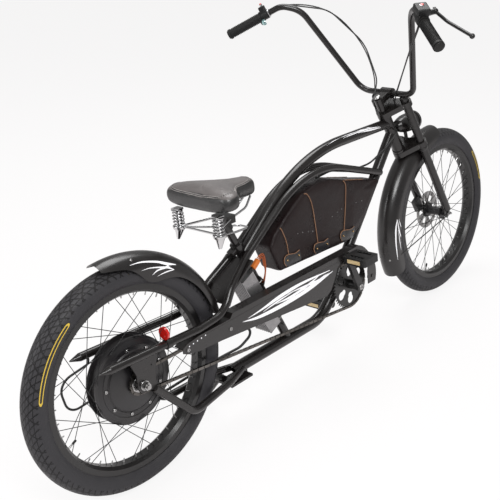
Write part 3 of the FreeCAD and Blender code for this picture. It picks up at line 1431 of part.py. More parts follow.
def seat_group():
    """Seat post, clamp, the sprung wire frame and the saddle cushion."""
    top = num("seat_tube_top")
    post_top = 690.0
    feature("seat_post", rod(on_seat(top - 150.0), on_seat(post_top), num("seat_post_radius")))
    collar = rod(on_seat(top + GAP), on_seat(top + 24.0), num("seat_tube_radius") + 5.0)
    lug = Part.makeBox(20.0, 26.0, 18.0, Vector(-38.0, -13.0, 3.0))
    lug.rotate(Vector(0, 0, 0), Vector(0, 1, 0), -(90.0 - num("seat_angle")))
    lug.translate(on_seat(top))
    hole = rod(on_seat(top - 20.0), on_seat(top + 60.0), num("seat_post_radius") + GAP)
    feature("seat_collar", solids_only(collar.fuse(lug).cut(hole)))

    wire = 3.6
    rail_z = 706.0
    head = on_seat(post_top)
    rear = Vector(head.x - 107.0, 90.0, 0)
    rails = []
    for sign in (-1, 1):
        points = [
            Vector(head.x + 116.0, sign * 12.0, 747.7),
            Vector(head.x + 84.0, sign * 19.0, 719.0),
            Vector(head.x + 12.0, sign * 24.0, rail_z),
            Vector(rear.x, sign * (rear.y - 12.0), rail_z - 4.0),
        ]
        rails.append((points, [40.0, 50.0]))
    clamp = block(Vector(head.x - 20.0, -33.0, rail_z - 14.0), Vector(head.x + 20.0, 33.0, rail_z + 12.0))
    clamp = clamp.fuse(rod(on_seat(post_top - 24.0), on_seat(post_top + 6.0), num("seat_post_radius") + 6.0))
    post_hole = rod(on_seat(560.0), on_seat(post_top + GAP), num("seat_post_radius") + GAP)
    rail_holes = [bent_rod(points, bends, wire + GAP) for points, bends in rails]
    feature("saddle_clamp", solids_only(clamp.cut([post_hole] + rail_holes)))

    pad_z = 762.0
    solids = [bent_rod(points, bends, wire) for points, bends in rails]
    hoop = [
        Vector(rear.x, -rear.y, rail_z - 10.0),
        Vector(head.x - 14.0, -56.0, 672.0),
        Vector(head.x + 84.0, -22.0, 652.0),
        Vector(head.x + 84.0, 22.0, 652.0),
        Vector(head.x - 14.0, 56.0, 672.0),
        Vector(rear.x, rear.y, rail_z - 10.0),
    ]
    solids.append(bent_rod(hoop, [120.0, 18.0, 18.0, 120.0], wire))
    solids.append(rod(Vector(rear.x, -rear.y, rail_z - 6.0), Vector(rear.x, rear.y, rail_z - 6.0), wire))
    for sign in (-1, 1):
        foot = Vector(rear.x - 8.0, sign * (rear.y + 4.0), 659.0)
        collar_spot = Vector(rear.x, sign * rear.y, rail_z - 14.0)
        slope = (collar_spot - foot).normalize()
        solids.append(Part.makeCone(5.0, 16.0, (collar_spot - foot).Length, foot, slope))
        solids.append(cylinder(collar_spot, Vector(0, 0, 1), 20.0, 10.0))
        plate = block(Vector(rear.x - 14.0, -14.0, pad_z - 5.2), Vector(rear.x + 14.0, 14.0, pad_z - 2.2))
        plate.translate(Vector(0, sign * rear.y, 0))
        solids.append(plate)
        coil = cylinder(collar_spot, Vector(0, 0, 1), 12.0, pad_z - 4.0 - collar_spot.z)
        solids.append(coil)
    frame = solids[0].fuse(solids[1:])
    feature("saddle_rails", solids_only(frame))

    stations = [
        (-110.0, 118.0, 770.0, 812.0),
        (-101.0, 138.0, 764.0, 828.0),
        (-78.0, num("saddle_half"), 762.0, 834.0),
        (-56.0, 138.0, 761.0, 834.0),
        (-29.0, 107.0, 760.0, 831.0),
        (17.0, 60.0, 758.0, 824.0),
        (57.0, 43.0, 754.0, 817.0),
        (102.0, 34.0, 751.0, 812.0),
        (124.0, 28.0, 752.0, 806.0),
        (133.0, 18.0, 760.0, 796.0),
    ]
    wires = []
    for ahead, half, low, high in stations:
        middle = (low + high) / 2
        tall = (high - low) / 2
        points = []
        for index in range(16):
            angle = 2 * math.pi * index / 16
            cos_share = math.copysign(abs(math.cos(angle)) ** 0.62, math.cos(angle))
            sin_share = math.copysign(abs(math.sin(angle)) ** 0.62, math.sin(angle))
            points.append(Vector(head.x + ahead, half * cos_share, middle + tall * sin_share))
        curve = Part.BSplineCurve()
        curve.interpolate(points, PeriodicFlag=True)
        wires.append(Part.Wire(curve.toShape()))
    feature("saddle", solids_only(Part.makeLoft(wires, True, False)))


def beside_down(share):
    """A side-view point on the down tube's rear side, at a share of its straight run."""
    way = (DOWN_KNEE - DOWN_TOP).normalize()
    back = Vector(way.z, 0, -way.x)
    spot = DOWN_TOP + (DOWN_KNEE - DOWN_TOP) * share + back * (num("down_radius") + GAP)
    return (spot.x, spot.z)


def bag():
    """The leather battery bag that fills the frame triangle."""
    corners = [
        (along(640.0), 462.0),
        (along(1020.0), 444.0),
        beside_down(0.76),
        beside_down(0.41),
        (along(1030.0), 676.0),
        (along(930.0), 706.0),
        (along(846.0), 708.0),
        (along(780.0), 694.0),
        (along(700.0), 648.0),
        (along(628.0), 598.0),
        (along(604.0), 560.0),
    ]
    body = new_body("battery_bag")
    sketch = new_sketch(body, "XZ_Plane", "Outline")
    draw_outline(sketch, corners)
    pad = pad_between(body, sketch, dim("bag_half") * 2)
    doc.recompute()
    rims = []
    for index, edge in enumerate(pad.Shape.Edges, start=1):
        ends = [vertex.Point.y for vertex in edge.Vertexes]
        if abs(ends[0] - ends[1]) < 0.01:
            rims.append("Edge%d" % index)
    fillet = body.newObject("PartDesign::Fillet", "BagRounding")
    fillet.Base = (pad, rims)
    fillet.Radius = 10.0
    body.Tip = fillet
    finish(body, "battery_bag")


def controller_block(extra):
    """The controller's plain block, grown by an extra gap."""
    deep = num("controller_deep") + extra
    half = num("controller_wide") / 2 + extra
    near = num("seat_tube_radius") + GAP
    box = Part.makeBox(deep, 2 * half, num("controller_long"), Vector(-near - deep, -half, 0))
    return box


def on_seat_back(shape):
    """A piece built upright, laid along the rear of the seat tube."""
    shape.rotate(Vector(0, 0, 0), Vector(0, 1, 0), -(90.0 - num("seat_angle")))
    shape.translate(on_seat(288.0))
    return shape


def controller():
    """The finned aluminium motor controller strapped behind the seat tube."""
    body = controller_block(0.0)
    back = -num("seat_tube_radius") - GAP - num("controller_deep")
    half = num("controller_wide") / 2
    fins = []
    count = 7
    pitch = (2 * half - 8.0) / count
    for index in range(count):
        side = -half + 6.0 + index * pitch
        fins.append(Part.makeBox(4.0, pitch / 2, num("controller_long") + 20.0, Vector(back - 0.5, side, -10.0)))
    feature("controller", solids_only(on_seat_back(body.cut(fins))))


STAND_PIVOT = Vector(392.0, 48.0, 148.0)
STAND_FOOT = Vector(402.0, 158.0, 22.5)


def kickstand():
    """The side stand: a bracket under the chainstays, and a leg that folds back about a cross pin."""
    plate = block(Vector(372.0, -30.0, 142.0), Vector(472.0, 34.0, 150.0))
    riser = block(Vector(434.0, -10.0, 149.0), Vector(468.0, 10.0, 172.0))
    pin = cylinder(STAND_PIVOT + Vector(0, -22.0, 0), Vector(0, 1, 0), 6.0, 40.0)
    boss = cylinder(STAND_PIVOT + Vector(0, -22.0, 0), Vector(0, 1, 0), 13.0, 10.0)
    tools = [swollen(KEEL_POINTS, [150.0], "keel_radius")]
    for side in (-1, 1):
        tools.append(swollen(chainstay_points(side), CHAINSTAY_BENDS, "chainstay_radius"))
    bracket = plate.fuse([riser, boss, pin]).cut(tools)
    feature("stand_bracket", solids_only(bracket))
    eye = cylinder(STAND_PIVOT + Vector(0, -11.0, 0), Vector(0, 1, 0), 14.0, 24.0)
    leg = rod(STAND_PIVOT, STAND_FOOT, 8.5)
    foot = Part.makeSphere(14.0, STAND_FOOT)
    hole = cylinder(STAND_PIVOT + Vector(0, -30.0, 0), Vector(0, 1, 0), 6.0 + RUN, 60.0)
    solid = eye.fuse([leg, foot]).cut(hole)
    # The foot is worn flat where the leaned machine rests on the floor.
    floor_low = Vector(-BIG, -BIG, -BIG)
    floor = Part.makeBox(2 * BIG, 2 * BIG, BIG, floor_low)
    floor.Placement = PARKED.inverse()
    feature("stand_leg", solids_only(solid.cut(floor)))


def small_parts():
    """The round rear reflector on the right stay, and the front brake caliper on the left fork leg."""
    spot = Vector(104.0, -70.0, 474.0)
    lens = cylinder(spot, Vector(-1, 0, 0), 20.0, 8.0)
    feature("reflector", lens)
    shoe = rod(Vector(98.0, -70.0, 437.8), Vector(118.0, -70.0, 436.6), num("stay_radius") + 2.5)
    arm = block(Vector(104.0 + GAP, -75.0, 446.0), Vector(108.0, -65.0, 482.0))
    tool = swollen(stay_points(-1), STAY_BENDS, "stay_radius")
    feature("reflector_bracket", solids_only(shoe.fuse(arm).cut(tool)))

    length = num("caliper_length")
    low = num("rotor_side") - 3.6
    high = num("leg_side") - 3.0
    body = Part.makeBox(40.0, high - low, length, Vector(-56.0, low, -length / 2))
    body = body.makeFillet(5.0, body.Edges)
    arm = Part.makeBox(44.0, 9.0, 20.0, Vector(-44.0, high - 9.0, -10.0))
    caliper = body.fuse(arm)
    caliper.rotate(Vector(0, 0, 0), Vector(0, 1, 0), -(90.0 - num("head_angle")))
    caliper.translate(on_head(num("fork_length") - 66.0, num("fork_offset")))
    slot = cylinder(
        FRONT_HUB + Vector(0, num("rotor_side") - 1.9, 0), Vector(0, 1, 0), num("rotor_radius") + 2.0, 3.8
    )
    leg = cylinder(
        on_head(0, num("fork_offset"), num("leg_side")), HEAD_DOWN, num("leg_radius") + GAP, num("fork_length") + 60.0
    )
    feature("front_caliper", solids_only(caliper.cut([slot, leg])))


def cables():
    """The cables held on the frame and the ones that hang from the handlebar to the head."""
    motor = [
        Vector(along(533.0), -8.0, 389.0),
        Vector(along(505.0), -8.0, 368.0),
        Vector(along(486.0), -6.0, 318.0),
        Vector(along(520.0), 0.0, 272.0),
        Vector(along(470.0), 14.0, 238.0),
        Vector(397.0, 36.0, 226.0),
        Vector(320.0, 53.0, 214.0),
        Vector(150.0, 53.5, 208.0),
        Vector(24.0, 53.5, 336.0),
    ]
    back = bent_rod(motor, [18.0, 30.0, 26.0, 60.0, 80.0, 100.0, 60.0], num("motor_cable_radius"))
    spacer = cylinder(REAR_HUB + Vector(0, 30.0, 0), Vector(0, 1, 0), 12.0 + GAP, 60.0)
    back = back.cut([spacer, on_seat_back(controller_block(GAP))])
    radius = num("bar_cable_radius")
    head = [
        on_head(72.0, -6.0, -num("head_radius") - GAP),
        on_head(74.0, -8.0, -44.0),
        Vector(along(1300.0), -24.0, 722.0),
        Vector(along(1226.0), -5.0, 682.0),
        Vector(along(1100.0), -4.0, 684.0),
        Vector(along(990.0), -4.0, 716.0),
        Vector(along(905.0), -4.0, 712.0),
    ]
    top = bent_rod(head, [14.0, 60.0, 90.0, 120.0, 100.0], radius + 1.0)
    loop = [
        Vector(-78.0, 70.0, 434.2),
        Vector(-79.0, 70.5, 416.0),
        Vector(-186.0, 78.0, 396.0),
        Vector(-166.0, 84.0, 286.0),
        Vector(-60.0, 90.0, 290.0),
        Vector(-6.0, 93.0, 337.0),
    ]
    rear = bent_rod(loop, [13.0, 45.0, 45.0, 50.0], radius + 1.0)
    axle = cylinder(REAR_HUB, Vector(0, 1, 0), 13.0, 120.0)
    feature("frame_cables", Part.makeCompound([solids_only(back), top, solids_only(rear.cut(axle))]))

    left_start = twisted_point(BAR_GRIP - GRIP_WAY * (num("grip_length") + 23.0 - 4.0) + Vector(17.0, 0, 6.0))
    left = [
        left_start,
        left_start + Vector(44.0, -34.0, 20.0),
        Vector(along(1303.0), 205.0, 1236.0),
        Vector(along(1398.0), 118.0, 1098.0),
        Vector(along(1374.0), 50.0, 968.0),
        on_head(-66.0, 16.0, 26.0),
        on_head(-num("crown_thick") / 2 - 1.2, 12.0, 21.0),
    ]
    right_start = Vector(BAR_GRIP.x, -BAR_GRIP.y, BAR_GRIP.z) - Vector(GRIP_WAY.x, -GRIP_WAY.y, GRIP_WAY.z) * (
        num("grip_length") + 48.0 - 4.0
    )
    right_start = twisted_point(right_start + Vector(10.8, 0, -20.2))
    right = [
        right_start,
        right_start + Vector(18.0, 24.0, -34.0),
        Vector(along(1196.0), -204.0, 1078.0),
        Vector(along(1296.0), -92.0, 950.0),
        on_head(-54.0, 32.0, -46.0),
        on_head(-num("crown_thick") / 2 - 1.2, 38.0, -34.0),
    ]
    strands = [
        bent_rod(left, [40.0, 120.0, 120.0, 80.0, 20.0], radius),
        bent_rod(right, [30.0, 110.0, 90.0, 12.0], radius),
    ]
    feature("bar_cables", Part.makeCompound(strands))


wheel_parts()
front_hub()
front_rotor()
hub_motor()
sprocket()
chain()
crank_parts()
frame_tubes()
dropouts()
rear_axle()
bridge_plate()
chain_guard()
fenders()
fork()
handlebar()
controls()
headlight()
seat_group()
bag()
controller()
kickstand()
small_parts()
cables()

doc.recompute()
os.makedirs("parts", exist_ok=True)
broken = []
for item in doc.Objects:
    if "Invalid" in item.State or "Error" in item.State:
        broken.append("%s: %s" % (item.Name, item.State))
for item in NODES:
    shape = item.Shape
    if shape.isNull() or not shape.isValid() or not shape.Solids:
        broken.append("%s has no sound solid" % item.Label)
        continue
    shape.exportStep("parts/%s.step" % item.Label)
if broken:
    raise RuntimeError("; ".join(broken))
print("wrote %d pieces" % len(NODES))
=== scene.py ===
"""Dresses the parked electric chopper bicycle and sets it in a white studio."""

from __future__ import annotations

import json
import logging
import math
from collections.abc import Iterable, Iterator
from contextlib import contextmanager
from dataclasses import dataclass, field
from enum import Enum

import bpy
from mathutils import Matrix, Vector

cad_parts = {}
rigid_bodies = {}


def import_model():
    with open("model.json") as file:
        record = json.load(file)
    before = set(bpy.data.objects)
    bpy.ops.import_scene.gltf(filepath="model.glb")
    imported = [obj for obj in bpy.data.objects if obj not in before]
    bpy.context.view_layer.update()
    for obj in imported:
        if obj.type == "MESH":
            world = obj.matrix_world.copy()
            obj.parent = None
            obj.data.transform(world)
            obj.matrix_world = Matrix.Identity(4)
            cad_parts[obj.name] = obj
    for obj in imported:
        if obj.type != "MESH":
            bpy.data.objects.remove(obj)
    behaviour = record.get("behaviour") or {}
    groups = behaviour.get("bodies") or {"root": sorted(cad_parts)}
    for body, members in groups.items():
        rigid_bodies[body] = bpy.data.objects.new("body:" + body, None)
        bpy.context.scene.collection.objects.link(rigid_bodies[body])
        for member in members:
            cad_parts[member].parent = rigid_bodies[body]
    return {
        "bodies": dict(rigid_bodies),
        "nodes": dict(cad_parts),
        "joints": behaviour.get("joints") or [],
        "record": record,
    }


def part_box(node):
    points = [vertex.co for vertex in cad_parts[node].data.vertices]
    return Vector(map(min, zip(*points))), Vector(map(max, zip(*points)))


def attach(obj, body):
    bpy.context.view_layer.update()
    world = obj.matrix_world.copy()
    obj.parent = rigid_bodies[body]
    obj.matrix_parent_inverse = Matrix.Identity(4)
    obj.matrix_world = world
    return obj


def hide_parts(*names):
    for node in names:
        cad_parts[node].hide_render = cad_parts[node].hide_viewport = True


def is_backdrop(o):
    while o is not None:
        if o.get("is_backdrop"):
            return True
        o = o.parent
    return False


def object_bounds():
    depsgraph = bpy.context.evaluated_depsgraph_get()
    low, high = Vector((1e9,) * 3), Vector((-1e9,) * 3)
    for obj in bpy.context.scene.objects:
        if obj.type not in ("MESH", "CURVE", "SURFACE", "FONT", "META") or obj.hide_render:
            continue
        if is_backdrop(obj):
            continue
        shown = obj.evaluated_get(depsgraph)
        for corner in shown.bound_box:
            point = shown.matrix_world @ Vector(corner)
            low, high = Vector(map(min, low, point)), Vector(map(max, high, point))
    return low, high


Colour = tuple[float, float, float]
Spot = tuple[float, float, float]
Profile = list[tuple[float, float]]
SideLine = tuple[tuple[float, float], ...]
SideRun = list[tuple[float, float]]
Stroke = tuple[tuple[float, float, float, float], ...]
Piece = bpy.types.Object
Node = bpy.types.Node
Socket = bpy.types.NodeSocket

log = logging.getLogger("chopper_bicycle")
logging.basicConfig(level=logging.INFO, format="%(name)s: %(message)s")


@dataclass(frozen=True)
class Parking:
    """How the upright machine of the drawing stands in the scene."""

    lean_deg: float = 7.9
    tyre_section: float = 37.5
    middle_ahead: float = 841.5
    middle_left: float = 141.84

    def matrix(self) -> Matrix:
        """The matrix that carries drawing millimetres to scene metres.

        Returns:
            The matrix.
        """
        lean = math.radians(self.lean_deg)
        shift = Vector((
            -self.middle_ahead,
            -self.tyre_section * math.sin(lean) - self.middle_left,
            self.tyre_section * (1.0 - math.cos(lean)),
        ))
        turn = Matrix.Rotation(-lean, 4, "X")
        return Matrix.Scale(0.001, 4) @ Matrix.Translation(shift) @ turn

    def lean(self) -> Matrix:
        """The machine's lean alone, without its place and scale."""
        return self.matrix().to_3x3().normalized().to_4x4()

    def spot(self, x: float, y: float, z: float) -> Vector:
        """A drawing point in the scene, in metres."""
        return self.matrix() @ Vector((x, y, z))

    def way(self, x: float, y: float, z: float) -> Vector:
        """A drawing direction in the scene, of length one."""
        return (self.matrix().to_3x3() @ Vector((x, y, z))).normalized()


class Side(Enum):
    """A side of the machine, with its sign along the drawing's Y."""

    RIGHT = -1.0
    LEFT = 1.0

    @property
    def word(self) -> str:
        """The side's word in the names of pieces."""
        return self.name.lower()

    @property
    def out(self) -> Vector:
        """The drawing direction that points out of this side."""
        return Vector((0.0, self.value, 0.0))

    def mirror(self, x: float, y: float, z: float) -> Vector:
        """A drawing point of the left side, carried to this side."""
        return Vector((x, self.value * y, z))


PARKED = Parking()
ORIGIN = Vector()
UP = Vector((0.0, 0.0, 1.0))
HEAD_TOP = Vector((1334.9, 0.0, 847.9))
HEAD_DOWN = Vector((0.48481, 0.0, -0.87462))
HEAD_AHEAD = Vector((0.87462, 0.0, 0.48481))
REAR_HUB = Vector((0.0, 0.0, 352.0))
FRONT_HUB = Vector((1683.0, 0.0, 352.0))
CRANK_AXLE = Vector((999.0, 0.0, 282.0))


def on_head(down: float, ahead: float = 0.0, side: float = 0.0) -> Vector:
    """A drawing point measured along the steering axis."""
    return HEAD_TOP + HEAD_DOWN * down + HEAD_AHEAD * ahead + Vector((0.0, side, 0.0))


def opaque(colour: Colour, share: float = 1.0) -> tuple[float, ...]:
    """A colour with full alpha, made brighter or darker by a share."""
    return (*(part * share for part in colour), 1.0)


class NodeSheet:
    """A small drawing board for shader nodes."""

    def __init__(self, tree: bpy.types.NodeTree) -> None:
        """Starts on a node tree."""
        self.tree = tree

    def add(self, kind: str, **values: object) -> Node:
        """Adds a node and sets its plain properties.

        Args:
            kind: the node's type name.
            **values: the properties to set.

        Returns:
            The new node.
        """
        node = self.tree.nodes.new(kind)
        for key, value in values.items():
            setattr(node, key, value)
        return node

    def wire(self, source: Socket, target: Socket) -> None:
        """Links an output to an input."""
        self.tree.links.new(source, target)

    def feed(self, node: Node, values: dict[str | int, object]) -> None:
        """Feeds inputs of a node from other sockets or with plain values.

        Args:
            node: the node.
            values: a socket or a value for each input's name or number.
        """
        for key, value in values.items():
            if isinstance(value, bpy.types.NodeSocket):
                self.wire(value, node.inputs[key])
            else:
                node.inputs[key].default_value = value

    def maths(self, operation: str, first: object, second: object = 0.0, clamp: bool = False) -> Socket:
        """Adds a Math node.

        Args:
            operation: the name of the operation.
            first: the first socket or number.
            second: the second socket or number.
            clamp: whether the result is held between 0 and 1.

        Returns:
            The result's socket.
        """
        node = self.add("ShaderNodeMath", operation=operation, use_clamp=clamp)
        self.feed(node, {0: first, 1: second})
        return node.outputs[0]

    def blend(self, mask: object, first: object, second: object) -> Socket:
        """Mixes two colours.

        Args:
            mask: 0 for the first colour and 1 for the second.
            first: the first colour.
            second: the second colour.

        Returns:
            The mixed colour's socket.
        """
        node = self.add("ShaderNodeMix", data_type="RGBA")
        self.feed(node, {0: mask, 6: first, 7: second})
        return node.outputs[2]

    def spread(self, value: object, low: float, high: float, start: float = 0.0, end: float = 1.0) -> Socket:
        """Maps a value from one range to another, held at both ends.

        Args:
            value: the value.
            low: what start becomes.
            high: what end becomes.
            start: the range's first value.
            end: the range's last value.

        Returns:
            The result's socket.
        """
        node = self.add("ShaderNodeMapRange")
        self.feed(node, {0: value, 1: start, 2: end, 3: low, 4: high})
        return node.outputs[0]

    def noise(self, place: Socket, scale: object, detail: float = 4.0, roughness: float = 0.6) -> Socket:
        """Adds a noise texture.

        Args:
            place: the coordinates.
            scale: how fine the noise is.
            detail: how many octaves it has.
            roughness: how strong its finer octaves are.

        Returns:
            The noise's socket.
        """
        node = self.add("ShaderNodeTexNoise")
        self.feed(node, {"Vector": place, "Scale": scale, "Detail": detail, "Roughness": roughness})
        return node.outputs["Fac"]

    def stripes(self, value: Socket, narrow: float, wide: float, floor: float = 0.0) -> Socket:
        """Lines at the middle of every whole step of a value.

        Args:
            value: the value that grows across the lines.
            narrow: half the share of a step that a line fills at its bottom.
            wide: half the share that it fills at its top.
            floor: the result at the bottom, where the rest is 1.

        Returns:
            The result's socket.
        """
        off = self.maths("SUBTRACT", self.maths("FRACT", value), 0.5)
        return self.spread(self.maths("ABSOLUTE", off), floor, 1.0, narrow, wide)


class SharedEffects:
    """The surface effects that several finishes use, each a node group built once."""

    def build(self) -> None:
        """Builds every effect."""
        self.build_orange_peel()
        self.build_dust()
        self.build_leather()
        self.build_brushing()

    def start(self, name: str, outputs: list[str], **numbers: float) -> tuple[NodeSheet, Node, Node]:
        """Starts a node group that takes a Vector.

        Args:
            name: the group's name.
            outputs: the names of its value outputs.
            **numbers: its number inputs and their defaults.

        Returns:
            The group's sheet, its input node and its output node.
        """
        group = bpy.data.node_groups.new(name, "ShaderNodeTree")
        group.interface.new_socket(name="Vector", in_out="INPUT", socket_type="NodeSocketVector")
        for label, default in numbers.items():
            socket = group.interface.new_socket(name=label, in_out="INPUT", socket_type="NodeSocketFloat")
            socket.default_value = default
        for label in outputs:
            group.interface.new_socket(name=label, in_out="OUTPUT", socket_type="NodeSocketFloat")
        sheet = NodeSheet(group)
        return sheet, sheet.add("NodeGroupInput"), sheet.add("NodeGroupOutput")

    def patches(self, sheet: NodeSheet, place: Socket, scale: float) -> Socket:
        """Slow cloudy patches between 0 and 1."""
        return sheet.spread(sheet.noise(place, scale), 0.0, 1.0, 0.35, 0.65)

    def build_orange_peel(self) -> None:
        """Fine waves of a sprayed or moulded surface."""
        sheet, start, end = self.start("orange_peel", ["Height", "Patches"], Scale=400.0)
        place = start.outputs["Vector"]
        fine = sheet.noise(place, start.outputs["Scale"], 2.0, 0.5)
        sheet.feed(end, {"Height": fine, "Patches": self.patches(sheet, place, 9.0)})

    def build_dust(self) -> None:
        """A thin veil of dust that settles on what faces up."""
        sheet, start, end = self.start("dust_veil", ["Mask"], Amount=0.3)
        parts = sheet.add("ShaderNodeSeparateXYZ")
        sheet.feed(parts, {0: sheet.add("ShaderNodeNewGeometry").outputs["Normal"]})
        upward = sheet.spread(parts.outputs["Z"], 0.0, 1.0, 0.2, 1.0)
        cloud = sheet.spread(sheet.noise(start.outputs["Vector"], 35.0, 5.0, 0.7), 0.25, 1.0, 0.38, 0.7)
        both = sheet.maths("MULTIPLY", upward, cloud)
        sheet.feed(end, {"Mask": sheet.maths("MULTIPLY", both, start.outputs["Amount"], True)})

    def build_leather(self) -> None:
        """Pebbled leather: small cells with creases between them."""
        sheet, start, end = self.start("leather_pebbles", ["Height", "Patches"], Scale=600.0)
        place = start.outputs["Vector"]
        warp = sheet.add("ShaderNodeTexNoise")
        sheet.feed(warp, {"Vector": place, "Scale": 90.0})
        mixed = sheet.add("ShaderNodeMix", data_type="VECTOR")
        sheet.feed(mixed, {0: 0.006, 4: place, 5: warp.outputs["Color"]})
        cells = sheet.add("ShaderNodeTexVoronoi", feature="DISTANCE_TO_EDGE")
        sheet.feed(cells, {"Vector": mixed.outputs[1], "Scale": start.outputs["Scale"]})
        rise = sheet.spread(cells.outputs["Distance"], 0.0, 1.0, 0.0, 0.22)
        sheet.feed(end, {"Height": rise, "Patches": self.patches(sheet, place, 14.0)})

    def build_brushing(self) -> None:
        """Fine lines of a brushed or drawn metal along one axis."""
        sheet, start, end = self.start("drawn_lines", ["Height", "Patches"])
        place = start.outputs["Vector"]
        stretch = sheet.add("ShaderNodeMapping", vector_type="POINT")
        sheet.feed(stretch, {"Scale": (12.0, 900.0, 900.0), "Vector": place})
        lines = sheet.noise(stretch.outputs[0], 1.0, 3.0)
        sheet.feed(end, {"Height": lines, "Patches": self.patches(sheet, place, 40.0)})


class Relief(Enum):
    """The shared effect that gives a finish its small relief."""

    PEEL = "orange_peel"
    LEATHER = "leather_pebbles"
    DRAWN = "drawn_lines"


@dataclass(frozen=True)
class Canvas:
    """A material under work: its sheet, its shader, its coordinates and its relief's group node."""

    sheet: NodeSheet
    shader: Node
    place: Socket
    grain: Node


@dataclass(frozen=True)
class Finish:
    """One surface finish, from its colours down to its grain."""

    name: str
    colour: Colour
    worn: Colour
    roughness: float
    roughness_swing: float = 0.08
    metallic: float = 0.0
    specular: float = 0.5
    coat: float = 0.0
    coat_roughness: float = 0.1
    relief: Relief = Relief.PEEL
    grain_scale: float = 500.0
    bump: float = 0.05
    bump_depth: float = 0.0004
    dust: float = 0.12
    dust_colour: Colour = (0.32, 0.29, 0.26)
    # Emission strength: painted brightness, for parts that are no lamps.
    glow: float = 0.0

    def material(self) -> bpy.types.Material:
        """Builds the material, or returns the one that is there already.

        Returns:
            The Blender material of this finish.
        """
        found = bpy.data.materials.get(self.name)
        if found is not None:
            return found
        material = bpy.data.materials.new(self.name)
        material.use_nodes = True
        material.diffuse_color = opaque(self.colour)
        sheet = NodeSheet(material.node_tree)
        shader = material.node_tree.nodes["Principled BSDF"]
        place = sheet.add("ShaderNodeTexCoord").outputs["Object"]
        grain = sheet.add("ShaderNodeGroup", node_tree=bpy.data.node_groups[self.relief.value])
        sheet.feed(grain, {"Vector": place})
        if "Scale" in grain.inputs:
            sheet.feed(grain, {"Scale": self.grain_scale})
        canvas = Canvas(sheet, shader, place, grain)
        self.paint(canvas)
        bump = sheet.add("ShaderNodeBump")
        sheet.feed(bump, {"Strength": self.bump, "Distance": self.bump_depth, "Height": self.height(canvas)})
        sheet.feed(shader, {"Normal": bump.outputs["Normal"]})
        return material

    def height(self, canvas: Canvas) -> Socket:
        """The relief's height."""
        return canvas.grain.outputs["Height"]

    def base(self, canvas: Canvas) -> Socket:
        """The colour before dust."""
        worn = canvas.sheet.maths("MULTIPLY", canvas.grain.outputs["Patches"], 0.6)
        return canvas.sheet.blend(worn, opaque(self.colour), opaque(self.worn))

    def paint(self, canvas: Canvas) -> None:
        """Wires the colour and the roughness under the dust, and sets the plain values.

        Args:
            canvas: the material under work.
        """
        sheet = canvas.sheet
        dust = sheet.add("ShaderNodeGroup", node_tree=bpy.data.node_groups["dust_veil"])
        sheet.feed(dust, {"Vector": canvas.place, "Amount": self.dust})
        mask = dust.outputs["Mask"]
        smooth = self.roughness - self.roughness_swing
        rough = self.roughness + self.roughness_swing
        varied = sheet.spread(canvas.grain.outputs["Patches"], smooth, rough)
        sheet.feed(canvas.shader, {
            "Base Color": sheet.blend(mask, self.base(canvas), opaque(self.dust_colour)),
            "Roughness": sheet.maths("ADD", varied, sheet.maths("MULTIPLY", mask, 0.5), True),
            "Metallic": self.metallic,
            "Specular IOR Level": self.specular,
        })
        # Painted light: the finish glows in its own colour.
        if self.glow:
            sheet.feed(canvas.shader, {"Emission Color": opaque(self.colour), "Emission Strength": self.glow})
        if self.coat:
            sheet.feed(canvas.shader, {"Coat Weight": self.coat, "Coat Roughness": self.coat_roughness})


